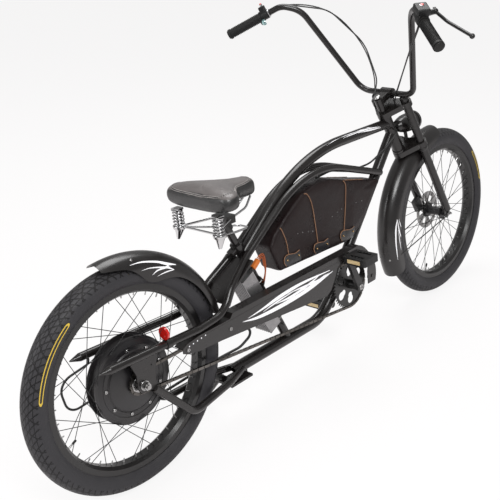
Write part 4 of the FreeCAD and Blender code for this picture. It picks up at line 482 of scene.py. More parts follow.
@dataclass(frozen=True)
class TyreFinish(Finish):
    """Tyre rubber with moulded tread grooves round one wheel; its counts run round the tyre or per metre."""

    hub_ahead: float = 0.0
    blocks: float = 92.0
    slant: float = 62.0
    back_slant: float = 30.0
    ribs: float = 118.0
    beads: float = 260.0
    tread_start: float = 0.3235
    tread_end: float = 0.3265

    def height(self, canvas: Canvas) -> Socket:
        """The moulded pattern with a little grain."""
        fine = canvas.sheet.maths("MULTIPLY", super().height(canvas), 0.06)
        return canvas.sheet.maths("ADD", self.grooves(canvas), fine)

    def base(self, canvas: Canvas) -> Socket:
        """Rubber with painted shade: darker in the grooves and along the sidewall's beads."""
        # Painted shade: a groove takes a quarter of the rubber's colour.
        return canvas.sheet.blend(self.grooves(canvas), opaque(self.colour, 0.25), super().base(canvas))

    def grooves(self, canvas: Canvas) -> Socket:
        """The tread's grooves and the sidewall's fine beads.

        Args:
            canvas: the material under work.

        Returns:
            A socket that is 1 on the rubber and lower in a groove.
        """
        sheet = canvas.sheet
        moved = sheet.add("ShaderNodeVectorMath", operation="SUBTRACT")
        sheet.feed(moved, {0: canvas.place, 1: PARKED.spot(self.hub_ahead, 0.0, REAR_HUB.z)})
        upright = sheet.add("ShaderNodeVectorRotate", rotation_type="X_AXIS")
        sheet.feed(upright, {"Vector": moved.outputs[0], "Angle": math.radians(PARKED.lean_deg)})
        parts = sheet.add("ShaderNodeSeparateXYZ")
        sheet.feed(parts, {0: upright.outputs[0]})
        ahead, left, up = parts.outputs
        turn = sheet.maths("MULTIPLY", sheet.maths("ARCTAN2", up, ahead), self.blocks / (2.0 * math.pi))
        square = sheet.maths("ADD", sheet.maths("MULTIPLY", ahead, ahead), sheet.maths("MULTIPLY", up, up))
        radius = sheet.maths("SQRT", square)
        side = sheet.maths("ABSOLUTE", left)
        slant = sheet.maths("ADD", turn, sheet.maths("MULTIPLY", side, self.slant))
        back = sheet.maths(
            "SUBTRACT", sheet.maths("MULTIPLY", turn, 0.5), sheet.maths("MULTIPLY", side, self.back_slant),
        )
        cut = sheet.stripes(sheet.maths("ADD", slant, 100.0), 0.07, 0.13)
        second = sheet.stripes(sheet.maths("ADD", back, 100.25), 0.03, 0.07)
        rib = sheet.stripes(sheet.maths("MULTIPLY", side, self.ribs), 0.05, 0.1)
        pattern = sheet.maths("MINIMUM", sheet.maths("MINIMUM", cut, second), rib)
        on_tread = sheet.spread(radius, 0.0, 1.0, self.tread_start, self.tread_end)
        plain = sheet.maths("SUBTRACT", 1.0, on_tread)
        bead = sheet.stripes(sheet.maths("MULTIPLY", radius, self.beads), 0.04, 0.16, 0.86)
        moulded = sheet.maths("MULTIPLY", pattern, on_tread)
        return sheet.maths("ADD", moulded, sheet.maths("MULTIPLY", bead, plain))


@dataclass(frozen=True)
class SaddleFinish(Finish):
    """Saddle leather: a greyish-brown top panel, painted lighter with the overhead light's sheen, over a
    black side band.
    """

    # Top panel colour: its own greyish brown, raised to hold a painted sheen from the overhead light.
    top: Colour = (0.115, 0.103, 0.1)

    def base(self, canvas: Canvas) -> Socket:
        """The panel's colour, with its painted sheen, where its mask says so, and the band's elsewhere.

        Args:
            canvas: the material under work.

        Returns:
            The colour's socket.
        """
        sheet = canvas.sheet
        # Painted sheen: the mask picks the upward-facing faces, and they take the lighter top colour.
        mask = sheet.add("ShaderNodeAttribute", attribute_name="top_panel")
        panel = sheet.blend(canvas.grain.outputs["Patches"], opaque(self.top), opaque(self.top, 1.25))
        return sheet.blend(mask.outputs["Fac"], super().base(canvas), panel)


@dataclass(frozen=True)
class GlassFinish(Finish):
    """Clear lamp glass."""

    refraction: float = 1.48

    def paint(self, canvas: Canvas) -> None:
        """Sets plain glass values.

        Args:
            canvas: the material under work.
        """
        canvas.sheet.feed(canvas.shader, {
            "Base Color": self.base(canvas),
            "Roughness": self.roughness,
            "Metallic": 0.0,
            "IOR": self.refraction,
            "Transmission Weight": 1.0,
        })


def black_paint(name: str, **changes: object) -> Finish:
    """A black coat.

    Args:
        name: the material's name.
        **changes: the values that differ from the frame's paint.

    Returns:
        The finish.
    """
    values = dict(
        colour=(0.0085, 0.0072, 0.0072), worn=(0.013, 0.011, 0.0105), roughness=0.24, specular=0.5,
        roughness_swing=0.06, coat=0.1, coat_roughness=0.08, bump=0.03, grain_scale=420.0, dust=0.02,
    )
    return Finish(name=name, **(values | changes))


def hide(name: str, colour: Colour, worn: Colour, roughness: float, **changes: object) -> Finish:
    """A plain leather without dust."""
    return Finish(name, colour, worn, roughness, **(dict(relief=Relief.LEATHER, dust=0.0) | changes))


class Palette:
    """Every finish of the machine, and which node wears which."""

    def __init__(self) -> None:
        """Names the finishes."""
        self.name_paints()
        self.name_metals()
        self.name_soft_goods()
        self.name_small_things()

    def name_paints(self) -> None:
        """The black coats, the plastic and the rubbers."""
        self.frame = black_paint("satin_frame_paint")
        self.fender = black_paint(
            "glossy_fender_paint", roughness=0.3, coat=0.25, coat_roughness=0.2, bump=0.01,
        )
        self.rim = black_paint("rim_coating", roughness=0.3, colour=(0.0085, 0.0082, 0.0085))
        self.motor = black_paint(
            "motor_coating", roughness=0.36, coat=0.05, bump=0.12, grain_scale=700.0,
            colour=(0.0135, 0.013, 0.015),
        )
        self.parts = black_paint(
            "coated_small_parts", roughness=0.32, coat=0.05, colour=(0.008, 0.008, 0.008),
        )
        self.plastic = Finish(
            "moulded_plastic", (0.008, 0.008, 0.0085), (0.013, 0.013, 0.013), 0.42,
            bump=0.14, grain_scale=1400.0, dust=0.04, specular=0.4,
        )
        self.rubber = Finish(
            "soft_rubber", (0.009, 0.009, 0.009), (0.014, 0.014, 0.014), 0.55,
            bump=0.1, grain_scale=900.0, dust=0.05, specular=0.35,
        )
        self.cable = Finish(
            "cable_jacket", (0.012, 0.012, 0.012), (0.018, 0.018, 0.018), 0.38, grain_scale=900.0, dust=0.05,
        )
        self.rear_tyre, self.front_tyre = (
            TyreFinish(
                f"{which}_tyre_rubber", (0.032, 0.031, 0.035), (0.042, 0.041, 0.044), 0.5,
                bump=0.9, bump_depth=0.0022, grain_scale=600.0, dust=0.06, specular=0.3, hub_ahead=hub.x,
            )
            for which, hub in (("rear", REAR_HUB), ("front", FRONT_HUB))
        )

    def name_metals(self) -> None:
        """The bare and plated metals."""
        self.spokes = Finish(
            "dark_spoke_wire", (0.035, 0.035, 0.036), (0.07, 0.07, 0.07), 0.3,
            metallic=1.0, bump=0.02, dust=0.0,
        )
        self.chrome = Finish(
            "bright_plating", (0.62, 0.62, 0.63), (0.5, 0.5, 0.5), 0.1,
            roughness_swing=0.04, metallic=1.0, bump=0.01, dust=0.05,
        )
        self.steel = Finish(
            "plain_steel", (0.4, 0.4, 0.4), (0.28, 0.27, 0.26), 0.28,
            metallic=1.0, relief=Relief.DRAWN, dust=0.06,
        )
        self.chain = Finish(
            "oiled_chain_steel", (0.16, 0.15, 0.14), (0.06, 0.055, 0.05), 0.34,
            roughness_swing=0.12, metallic=1.0, dust=0.08,
        )
        self.aluminium = Finish(
            "ribbed_aluminium", (0.34, 0.335, 0.34), (0.27, 0.265, 0.27), 0.34,
            metallic=0.85, relief=Relief.DRAWN, bump=0.08, dust=0.08,
        )
        self.brass = Finish(
            "brass_rivet", (0.5, 0.33, 0.16), (0.36, 0.22, 0.1), 0.22, metallic=1.0, bump=0.03, dust=0.02,
        )
        self.teal = Finish(
            "teal_bell_coating", (0.35, 0.55, 0.55), (0.5, 0.55, 0.56), 0.15,
            metallic=0.9, bump=0.02, dust=0.0,
        )

    def name_soft_goods(self) -> None:
        """The leathers, the piping and the thread."""
        self.saddle = SaddleFinish(
            "grained_saddle_hide", (0.009, 0.009, 0.0092), (0.014, 0.0135, 0.0135), 0.36,
            relief=Relief.LEATHER, grain_scale=420.0, bump=0.35, bump_depth=0.0006, dust=0.0,
            coat=0.5, coat_roughness=0.22,
        )
        self.bag = hide(
            "waxed_bag_hide", (0.0105, 0.006, 0.0064), (0.021, 0.0125, 0.012), 0.34, roughness_swing=0.12,
            coat=0.06, coat_roughness=0.2, grain_scale=340.0, bump=0.4, bump_depth=0.0007, specular=0.22,
        )
        self.tab = hide(
            "tab_leather", (0.006, 0.006, 0.0075), (0.012, 0.012, 0.014), 0.26,
            coat=0.25, coat_roughness=0.16, grain_scale=420.0, bump=0.25, bump_depth=0.0005,
        )
        self.piping = hide(
            "tan_piping", (0.27, 0.14, 0.075), (0.2, 0.1, 0.055), 0.5, grain_scale=900.0, bump=0.2, dust=0.02,
        )
        # The thread's glow is painted brightness on the pale stitches.
        self.thread = Finish("pale_thread", (0.62, 0.58, 0.56), (0.5, 0.46, 0.44), 0.6, dust=0.0, glow=0.12)

    def name_small_things(self) -> None:
        """The decals, the reflectors, the leads, the tie and the lamp's glass."""
        # The decals' glow is painted brightness on their pale print.
        self.decal = Finish(
            "pale_decal", (0.86, 0.86, 0.88), (0.8, 0.8, 0.82), 0.35, bump=0.01, dust=0.0, glow=0.25,
        )
        self.label = Finish("yellow_label", (0.74, 0.52, 0.06), (0.62, 0.43, 0.05), 0.5, bump=0.02, dust=0.05)
        self.red = Finish(
            "red_reflector", (0.62, 0.012, 0.008), (0.45, 0.008, 0.006), 0.16,
            coat=0.6, bump=0.25, grain_scale=1100.0, dust=0.0,
        )
        self.amber = Finish(
            "amber_reflector", (0.72, 0.56, 0.3), (0.6, 0.42, 0.18), 0.18,
            coat=0.5, bump=0.25, grain_scale=1100.0, dust=0.0,
        )
        self.orange_lead = Finish(
            "orange_lead", (0.55, 0.13, 0.035), (0.4, 0.09, 0.03), 0.45, bump=0.03, dust=0.0,
        )
        self.orange = Finish("orange_plug", (0.75, 0.2, 0.03), (0.6, 0.15, 0.02), 0.42, dust=0.02)
        self.white_plastic = Finish("white_tie", (0.7, 0.7, 0.69), (0.6, 0.6, 0.58), 0.45, dust=0.03)
        self.glass = GlassFinish(
            "lamp_glass", (0.93, 0.95, 0.96), (0.88, 0.9, 0.92), 0.05, bump=0.2, grain_scale=220.0,
        )

    def wardrobe(self) -> dict[str, Finish]:
        """Which finish each CAD node wears.

        Returns:
            The finish for each node's name.
        """
        groups = (
            (self.frame, "head_tube down_tube top_tube seat_tube keel_tube bottom_shell bridge_plate"),
            (self.frame, "cantilever_tubes chainstays dropouts stand_bracket seat_post seat_collar"),
            (self.frame, "stem handlebar crown_upper crown_lower fork_legs"),
            (self.fender, "rear_fender front_fender chain_guard headlight"),
            (self.rim, "rear_rim front_rim"),
            (self.motor, "hub_motor front_hub"),
            (self.plastic, "pedal_left pedal_right bar_controls"),
            (self.rubber, "grips"),
            (self.cable, "frame_cables bar_cables"),
            (self.rear_tyre, "rear_tyre"),
            (self.front_tyre, "front_tyre"),
            (self.spokes, "rear_spokes front_spokes"),
            (self.chrome, "saddle_rails"),
            (self.steel, "sprocket rear_axle front_axle front_rotor crank_spindle"),
            (self.chain, "chain"),
            (self.saddle, "saddle"),
            (self.bag, "battery_bag"),
            (self.aluminium, "controller"),
            (self.red, "reflector"),
            (self.amber, "pedal_reflectors_left pedal_reflectors_right"),
            (self.glass, "headlight_lens"),
        )
        return {node: finish for finish, nodes in groups for node in nodes.split()}

    def dress_nodes(self, nodes: dict[str, Piece]) -> None:
        """Gives every CAD node its finish, and small parts that aren't named the small parts' coat.

        Args:
            nodes: the frame's nodes by name.
        """
        wardrobe = self.wardrobe()
        for name, node in nodes.items():
            material = wardrobe.get(name, self.parts).material()
            for slot in node.material_slots:
                slot.material = material
            if not node.material_slots:
                node.data.materials.append(material)


@dataclass
class Studio:
    """The white room, its lamps and the camera."""

    focal_mm: float = 58.392
    azimuth: float = -0.818497348
    elevation: float = 0.457081707
    distance: float = 2.61237893
    target: Spot = (0.520371886 - 0.8415, 0.043226 - 0.14184, 0.579493435)
    roll: float = -0.00117991
    floor_size: float = 60.0
    world_light: float = 0.38
    floor_glow: float = 0.86
    lamp_target: Spot = (0.0, 0.0, 0.5)
    lamps: tuple[tuple[str, Spot, float, float], ...] = (
        ("key_lamp", (-1.8, -2.4, 3.6), 1.8, 105.0),
        ("top_lamp", (1.0, 0.8, 3.8), 2.2, 80.0),
        ("fill_lamp", (-3.4, 1.2, 1.8), 1.6, 34.0),
    )

    def build(self) -> None:
        """Sets camera, world, floor and lamps."""
        self.place_camera()
        self.light_world()
        self.lay_floor()
        for name, place, size, power in self.lamps:
            self.hang_lamp(name, place, size, power)
        bpy.context.scene.view_settings.view_transform = "Standard"

    def place_camera(self) -> None:
        """Puts the camera where the photograph was taken."""
        back = Vector((
            math.sin(self.azimuth) * math.cos(self.elevation),
            -math.cos(self.azimuth) * math.cos(self.elevation),
            math.sin(self.elevation),
        ))
        right = (-back).cross(UP).normalized()
        up = right.cross(-back)
        across = right * math.cos(self.roll) + up * math.sin(self.roll)
        above = up * math.cos(self.roll) - right * math.sin(self.roll)
        data = bpy.data.cameras.new("photo_camera")
        data.sensor_width = 36.0
        data.lens = self.focal_mm
        data.clip_end = 200.0
        camera = bpy.data.objects.new("photo_camera", data)
        bpy.context.collection.objects.link(camera)
        turn = Matrix((across, above, back)).transposed().to_4x4()
        camera.matrix_world = Matrix.Translation(Vector(self.target) + back * self.distance) @ turn
        bpy.context.scene.camera = camera

    def light_world(self) -> None:
        """A world that is white to the eye and through glass, and softer as light."""
        world = bpy.data.worlds.new("studio_world")
        world.use_nodes = True
        bpy.context.scene.world = world
        sheet = NodeSheet(world.node_tree)
        path = sheet.add("ShaderNodeLightPath")
        seen = sheet.maths("MAXIMUM", path.outputs["Is Camera Ray"], path.outputs["Is Transmission Ray"])
        sheet.feed(world.node_tree.nodes["Background"], {
            "Color": (1.0, 1.0, 1.0, 1.0),
            "Strength": sheet.spread(seen, self.world_light, 1.0),
        })

    def lay_floor(self) -> None:
        """Lays the white floor, which keeps a soft shadow."""
        bpy.ops.object.select_all(action="DESELECT")
        bpy.ops.mesh.primitive_plane_add(size=self.floor_size, location=(0.0, 0.0, 0.0))
        floor = bpy.context.object
        floor.name = "studio_floor"
        material = bpy.data.materials.new("studio_white")
        material.use_nodes = True
        sheet = NodeSheet(material.node_tree)
        shader = material.node_tree.nodes["Principled BSDF"]
        sheet.feed(shader, {
            "Base Color": (0.93, 0.9, 0.9, 1.0),
            "Roughness": 0.6,
            "Specular IOR Level": 0.1,
        })
        glow = sheet.add("ShaderNodeEmission")
        sheet.feed(glow, {"Color": (1.0, 0.995, 0.995, 1.0)})
        seen = sheet.add("ShaderNodeLightPath").outputs["Is Camera Ray"]
        mix = sheet.add("ShaderNodeMixShader")
        share = sheet.maths("MULTIPLY", seen, self.floor_glow)
        sheet.feed(mix, {0: share, 1: shader.outputs[0], 2: glow.outputs[0]})
        sheet.feed(material.node_tree.nodes["Material Output"], {"Surface": mix.outputs[0]})
        floor.data.materials.append(material)
        floor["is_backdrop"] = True

    def hang_lamp(self, name: str, place: Spot, size: float, power: float) -> None:
        """Hangs one soft box that looks at the machine.

        Args:
            name: the lamp's name.
            place: where it hangs, in metres.
            size: the side of its square face.
            power: its power in watts.
        """
        data = bpy.data.lights.new(name, "AREA")
        data.size = size
        data.energy = power
        lamp = bpy.data.objects.new(name, data)
        bpy.context.collection.objects.link(lamp)
        lamp.location = place
        lamp.rotation_euler = (Vector(self.lamp_target) - Vector(place)).to_track_quat("-Z", "Y").to_euler()


class Workshop:
    """The modelling steps that every sub-assembly shares."""

    def rest(self) -> None:
        """Leaves edit mode and deselects everything."""
        if bpy.context.object is not None and bpy.context.object.mode != "OBJECT":
            bpy.ops.object.mode_set(mode="OBJECT")
        bpy.ops.object.select_all(action="DESELECT")

    def hold(self, *pieces: Piece) -> None:
        """Selects these pieces and makes the first one active.

        Args:
            *pieces: the pieces.
        """
        self.rest()
        for piece in pieces:
            piece.select_set(True)
        bpy.context.view_layer.objects.active = pieces[0]

    @contextmanager
    def editing(self) -> Iterator[None]:
        """Opens the active piece in edit mode with everything selected."""
        bpy.ops.object.mode_set(mode="EDIT")
        bpy.ops.mesh.select_all(action="SELECT")
        yield
        bpy.ops.object.mode_set(mode="OBJECT")

    def modify(self, piece: Piece, kind: str, **values: object) -> Piece:
        """Adds a modifier to a piece and applies it.

        Args:
            piece: the piece.
            kind: the modifier's type.
            **values: its settings.

        Returns:
            The piece.
        """
        self.hold(piece)
        modifier = piece.modifiers.new(kind.title(), kind)
        for key, value in values.items():
            setattr(modifier, key, value)
        bpy.ops.object.modifier_apply(modifier=modifier.name)
        return piece

    def aim(self, place: Vector, axis: Vector) -> Matrix:
        """The matrix that stands a piece at a place with its Z along an axis."""
        return Matrix.Translation(place) @ axis.to_track_quat("Z", "Y").to_matrix().to_4x4()

    def turned(
        self, profile: Profile, place: Vector = ORIGIN, axis: Vector = UP, segments: int = 24,
    ) -> Piece:
        """Turns a closed piece from a profile, as on a lathe.

        Args:
            profile: radius and height pairs in millimetres, from one end to the other.
            place: where height 0 lies, in metres.
            axis: the direction of the height.
            segments: how many faces go round.

        Returns:
            The piece.
        """
        self.rest()
        steps = [(radius * 0.001, height * 0.001) for radius, height in profile]
        bpy.ops.mesh.primitive_circle_add(vertices=segments, radius=steps[0][0], fill_type="NGON")
        piece = bpy.context.object
        with self.editing():
            bpy.ops.transform.translate(value=(0.0, 0.0, steps[0][1]))
            for (radius, height), (next_radius, next_height) in zip(steps, steps[1:]):
                move = {"value": (0.0, 0.0, next_height - height)}
                bpy.ops.mesh.extrude_region_move(TRANSFORM_OT_translate=move)
                share = next_radius / radius
                centre = (0.0, 0.0, next_height)
                bpy.ops.transform.resize(value=(share, share, 1.0), center_override=centre)
            bpy.ops.mesh.select_all(action="SELECT")
            bpy.ops.mesh.normals_make_consistent(inside=False)
        piece.matrix_world = self.aim(place, axis)
        return piece

    def block(self, size: Spot, place: Matrix, rounding: float = 1.0) -> Piece:
        """Makes a rounded block.

        Args:
            size: its three sides in millimetres.
            place: the matrix that stands it, in metres.
            rounding: the bevel's width in millimetres.

        Returns:
            The piece.
        """
        self.rest()
        bpy.ops.mesh.primitive_cube_add(size=1.0)
        piece = bpy.context.object
        with self.editing():
            sides = tuple(side * 0.001 for side in size)
            bpy.ops.transform.resize(value=sides, center_override=(0.0, 0.0, 0.0))
            bpy.ops.mesh.bevel(offset=rounding * 0.001, segments=2, affect="EDGES")
        piece.matrix_world = place
        return piece

    def socket_head(self, radius: float, tall: float, place: Vector = ORIGIN, axis: Vector = UP) -> Piece:
        """Makes a round socket-head screw with its recess, in millimetres."""
        shape = ((1.0, 0.0), (1.0, 0.8), (0.86, 1.0), (0.5, 1.0), (0.46, 0.45))
        return self.turned([(radius * out, tall * up) for out, up in shape], place, axis, 16)

    def dome(self, radius: float, tall: float, place: Vector, axis: Vector) -> Piece:
        """Makes a low domed rivet or cap, in millimetres."""
        shape = ((1.0, 0.0), (0.96, 0.35), (0.8, 0.7), (0.5, 0.93), (0.15, 1.0))
        return self.turned([(radius * out, tall * up) for out, up in shape], place, axis, 14)

    def ring(
        self, radius: float, wire: float, steps: int, around: int, place: Vector = ORIGIN, axis: Vector = UP,
    ) -> Piece:
        """Makes a round ring.

        Args:
            radius: the ring's radius in millimetres.
            wire: its wire's radius in millimetres.
            steps: how many faces go along it.
            around: how many faces go round its wire.
            place: its centre, in metres.
            axis: its axis.

        Returns:
            The piece.
        """
        self.rest()
        bpy.ops.mesh.primitive_torus_add(
            major_radius=radius * 0.001, minor_radius=wire * 0.001,
            major_segments=steps, minor_segments=around,
        )
        piece = bpy.context.object
        piece.matrix_world = self.aim(place, axis)
        return piece

    def wire(self, points: list[Vector], radius: float, closed: bool = False, sides: int = 2) -> Piece:
        """Bends a smooth wire along points.

        Args:
            points: the way in scene metres.
            radius: the wire's radius in millimetres.
            closed: whether its ends join.
            sides: the bevel's resolution.

        Returns:
            The wire as a mesh with closed ends.
        """
        self.rest()
        curve = bpy.data.curves.new("wire", "CURVE")
        curve.dimensions = "3D"
        curve.bevel_depth = radius * 0.001
        curve.bevel_resolution = sides
        curve.use_fill_caps = not closed
        curve.resolution_u = 6
        spline = curve.splines.new("NURBS")
        spline.points.add(len(points) - 1)
        for point, place in zip(spline.points, points):
            point.co = (*place, 1.0)
        spline.order_u = 3
        spline.use_endpoint_u = not closed
        spline.use_cyclic_u = closed
        piece = bpy.data.objects.new("wire", curve)
        bpy.context.collection.objects.link(piece)
        self.hold(piece)
        bpy.ops.object.convert(target="MESH")
        return bpy.context.object

    def copies(self, pattern: Piece, places: list[Matrix]) -> Piece:
        """Sets one joined piece of copies of a pattern, and clears the pattern away.

        Args:
            pattern: the piece that repeats, modelled round the scene's origin.
            places: the matrix of each copy.

        Returns:
            The joined piece.
        """
        made = []
        for place in places:
            copy = pattern.copy()
            copy.data = pattern.data.copy()
            bpy.context.collection.objects.link(copy)
            copy.matrix_world = place @ pattern.matrix_world
            made.append(copy)
        bpy.data.objects.remove(pattern)
        return self.join(made)

    def join(self, pieces: list[Piece]) -> Piece:
        """Joins pieces into one.

        Args:
            pieces: the pieces.

        Returns:
            The joined piece, with its place in its mesh.
        """
        self.hold(*pieces)
        bpy.ops.object.transform_apply(location=True, rotation=True, scale=True)
        if len(pieces) > 1:
            bpy.ops.object.join()
        return bpy.context.object

    def ribbon(
        self, path: list[Vector], widths: list[float], facing: Vector, steps: int, across: int,
    ) -> Piece:
        """Lays a flat tapering band along a smooth path.

        Args:
            path: the middle line in scene metres.
            widths: the band's width in millimetres at each path point.
            facing: the way its face looks.
            steps: how many faces go along it.
            across: how many faces go across it.

        Returns:
            The open band.
        """
        self.rest()
        bpy.ops.mesh.primitive_grid_add(x_subdivisions=steps, y_subdivisions=across, size=2.0)
        piece = bpy.context.object
        breadths = [Vector((width, 0.0, 0.0)) for width in widths]
        for vertex in piece.data.vertices:
            along = (vertex.co.x + 1.0) / 2.0
            place, heading = self.follow(path, along)
            half_wide = self.follow(breadths, along)[0].x * 0.0005
            vertex.co = place + facing.cross(heading).normalized() * (vertex.co.y * half_wide)
        self.hold(piece)
        with self.editing():
            bpy.ops.mesh.remove_doubles(threshold=0.00005)
        return piece

    def follow(self, path: list[Vector], share: float) -> tuple[Vector, Vector]:
        """The place and heading on a smooth line through points.

        Args:
            path: the points.
            share: how far along, from 0 to 1.

        Returns:
            The place and the heading.
        """
        last = len(path) - 1
        reach = min(max(share, 0.0), 1.0) * last
        index = min(int(reach), last - 1)
        local = reach - index
        before, start, end, after = (path[min(max(index + step, 0), last)] for step in (-1, 0, 1, 2))
        straight = end - before
        bend = 2.0 * before - 5.0 * start + 4.0 * end - after
        sway = 3.0 * start - before - 3.0 * end + after
        place = 0.5 * (2.0 * start + straight * local + bend * local**2 + sway * local**3)
        heading = 0.5 * (straight + bend * 2.0 * local + sway * 3.0 * local**2)
        return place, heading.normalized() if heading.length > 1e-9 else (end - start).normalized()

    def side_run(self, line: Iterable[tuple[float, float]], count: int) -> SideRun:
        """Even steps along a smooth side-view line.

        Args:
            line: its points, ahead and up in millimetres.
            count: how many steps it is cut in.

        Returns:
            The points of the steps, with both ends.
        """
        path = [Vector((x, z, 0.0)) for x, z in line]
        return [tuple(self.follow(path, index / count)[0].xy) for index in range(count + 1)]

    def lay(self, piece: Piece, base: Piece, lift: float) -> Piece:
        """Lays a piece onto another's surface, lifted by some millimetres."""
        return self.modify(
            piece, "SHRINKWRAP", target=base, wrap_method="NEAREST_SURFACEPOINT", wrap_mode="ABOVE_SURFACE",
            offset=lift * 0.001,
        )

    def thicken(self, piece: Piece, thick: float) -> Piece:
        """Gives an open sheet a wall.

        Args:
            piece: the sheet.
            thick: the wall in millimetres.

        Returns:
            The closed piece.
        """
        self.modify(piece, "SOLIDIFY", thickness=thick * 0.001, offset=1.0)
        with self.editing():
            bpy.ops.mesh.normals_make_consistent(inside=False)
        return piece

    def settle(self, piece: Piece, name: str, finish: Finish, body: str, smooth: float) -> None:
        """Finishes a piece: place into the mesh, name, finish, shading and body.

        Args:
            piece: the piece.
            name: its name.
            finish: its finish.
            body: the CAD body it moves with.
            smooth: the angle up to which edges are shaded smooth.
        """
        self.hold(piece)
        bpy.ops.object.transform_apply(location=True, rotation=True, scale=True)
        piece.name = name
        piece.data.name = name
        piece.data.materials.clear()
        piece.data.materials.append(finish.material())
        bpy.ops.object.shade_smooth_by_angle(angle=math.radians(smooth))
        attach(piece, body)
        log.info("made %s with %d faces", name, len(piece.data.polygons))

    def soft_copy(self, node: Piece, voxel: float) -> Piece:
        """Copies a soft CAD solid and remeshes the copy evenly.

        Args:
            node: the CAD node.
            voxel: the remesh size in millimetres.

        Returns:
            The copy.
        """
        copy = bpy.data.objects.new("soft_copy", node.data.copy())
        bpy.context.collection.objects.link(copy)
        self.hold(copy)
        with self.editing():
            bpy.ops.mesh.remove_doubles(threshold=0.00002)
        self.modify(copy, "REMESH", mode="VOXEL", voxel_size=voxel * 0.001)
        return self.modify(copy, "SMOOTH", iterations=4, factor=0.5)

    def swell(self, piece: Piece, held: list[int], pressure: float, cap: float, frames: int = 20) -> None:
        """Blows a closed soft piece up a little with a cloth simulation.

        Args:
            piece: the piece.
            held: the vertices that are held.
            pressure: the air pressure inside.
            cap: the furthest a point may move, in millimetres.
            frames: how many frames run.
        """
        start = [vertex.co.copy() for vertex in piece.data.vertices]
        seams = piece.vertex_groups.new(name="seams")
        for index in held:
            seams.add([index], 1.0, "REPLACE")
        cloth = piece.modifiers.new("Swell", "CLOTH")
        cloth.settings.quality = 4
        cloth.settings.mass = 0.25
        cloth.settings.use_pressure = True
        cloth.settings.uniform_pressure_force = pressure
        cloth.settings.effector_weights.gravity = 0.0
        cloth.settings.vertex_group_mass = seams.name
        cloth.point_cache.frame_start = 1
        cloth.point_cache.frame_end = frames
        for frame in range(1, frames + 1):
            bpy.context.scene.frame_set(frame)
        swollen = piece.evaluated_get(bpy.context.evaluated_depsgraph_get())
        ends = [vertex.co.copy() for vertex in swollen.data.vertices]
        piece.modifiers.remove(cloth)
        piece.vertex_groups.remove(seams)
        bpy.context.scene.frame_set(1)
        for vertex, before, after in zip(piece.data.vertices, start, ends):
            move = after - before
            if move.length > cap * 0.001:
                move = move.normalized() * cap * 0.001
            vertex.co = before + move


@dataclass(kw_only=True)
class Trim:
    """A sub-assembly's pieces, made in the workshop and dressed from the palette."""

    palette: Palette
    body: str = "frame"
    shop: Workshop = field(default_factory=Workshop)

    def dress(self, name: str, finish: Finish, *pieces: Piece, smooth: float = 35.0, body: str = "") -> None:
        """Joins pieces into one and finishes it.

        Args:
            name: its name.
            finish: its finish.
            *pieces: the pieces.
            smooth: the angle up to which edges are shaded smooth.
            body: the CAD body it moves with, where that isn't the sub-assembly's own.
        """
        self.shop.settle(self.shop.join(list(pieces)), name, finish, body or self.body, smooth)

    def lathe(self, profile: Profile, place: Vector, axis: Vector, segments: int = 24) -> Piece:
        """Turns a piece at a drawing place along a drawing direction."""
        return self.shop.turned(profile, PARKED.spot(*place), PARKED.way(*axis), segments)

    def screw(self, radius: float, tall: float, place: Vector, axis: Vector) -> Piece:
        """Makes a socket-head screw at a drawing place along a drawing direction."""
        return self.shop.socket_head(radius, tall, PARKED.spot(*place), PARKED.way(*axis))

    def rivet(self, radius: float, tall: float, place: Vector, axis: Vector) -> Piece:
        """Makes a dome at a drawing place along a drawing direction."""
        return self.shop.dome(radius, tall, PARKED.spot(*place), PARKED.way(*axis))

    def hoop(self, radius: float, wire: float, place: Vector, axis: Vector, steps: int, around: int) -> Piece:
        """Makes a ring at a drawing place round a drawing direction."""
        return self.shop.ring(radius, wire, steps, around, PARKED.spot(*place), PARKED.way(*axis))

    def lead(self, points: Iterable[Iterable[float]], radius: float, sides: int = 2) -> Piece:
        """Bends a wire along drawing points."""
        return self.shop.wire([PARKED.spot(*point) for point in points], radius, sides=sides)

    def round_places(
        self, centre: Vector, radius: float, count: int, first: float, axis: Vector | None = None,
    ) -> list[Matrix]:
        """Places in a circle round a cross axle.

        Args:
            centre: the circle's centre in the drawing.
            radius: its radius in millimetres.
            count: how many places it has.
            first: the angle of the first place, in radians from straight ahead.
            axis: the drawing direction in which a piece stands there, or outward from the axle.

        Returns:
            The matrix of each place.
        """
        places = []
        for index in range(count):
            angle = 2.0 * math.pi * index / count + first
            out = Vector((math.cos(angle), 0.0, math.sin(angle)))
            stand = out if axis is None else axis
            places.append(self.shop.aim(PARKED.spot(*(centre + out * radius)), PARKED.way(*stand)))
        return places


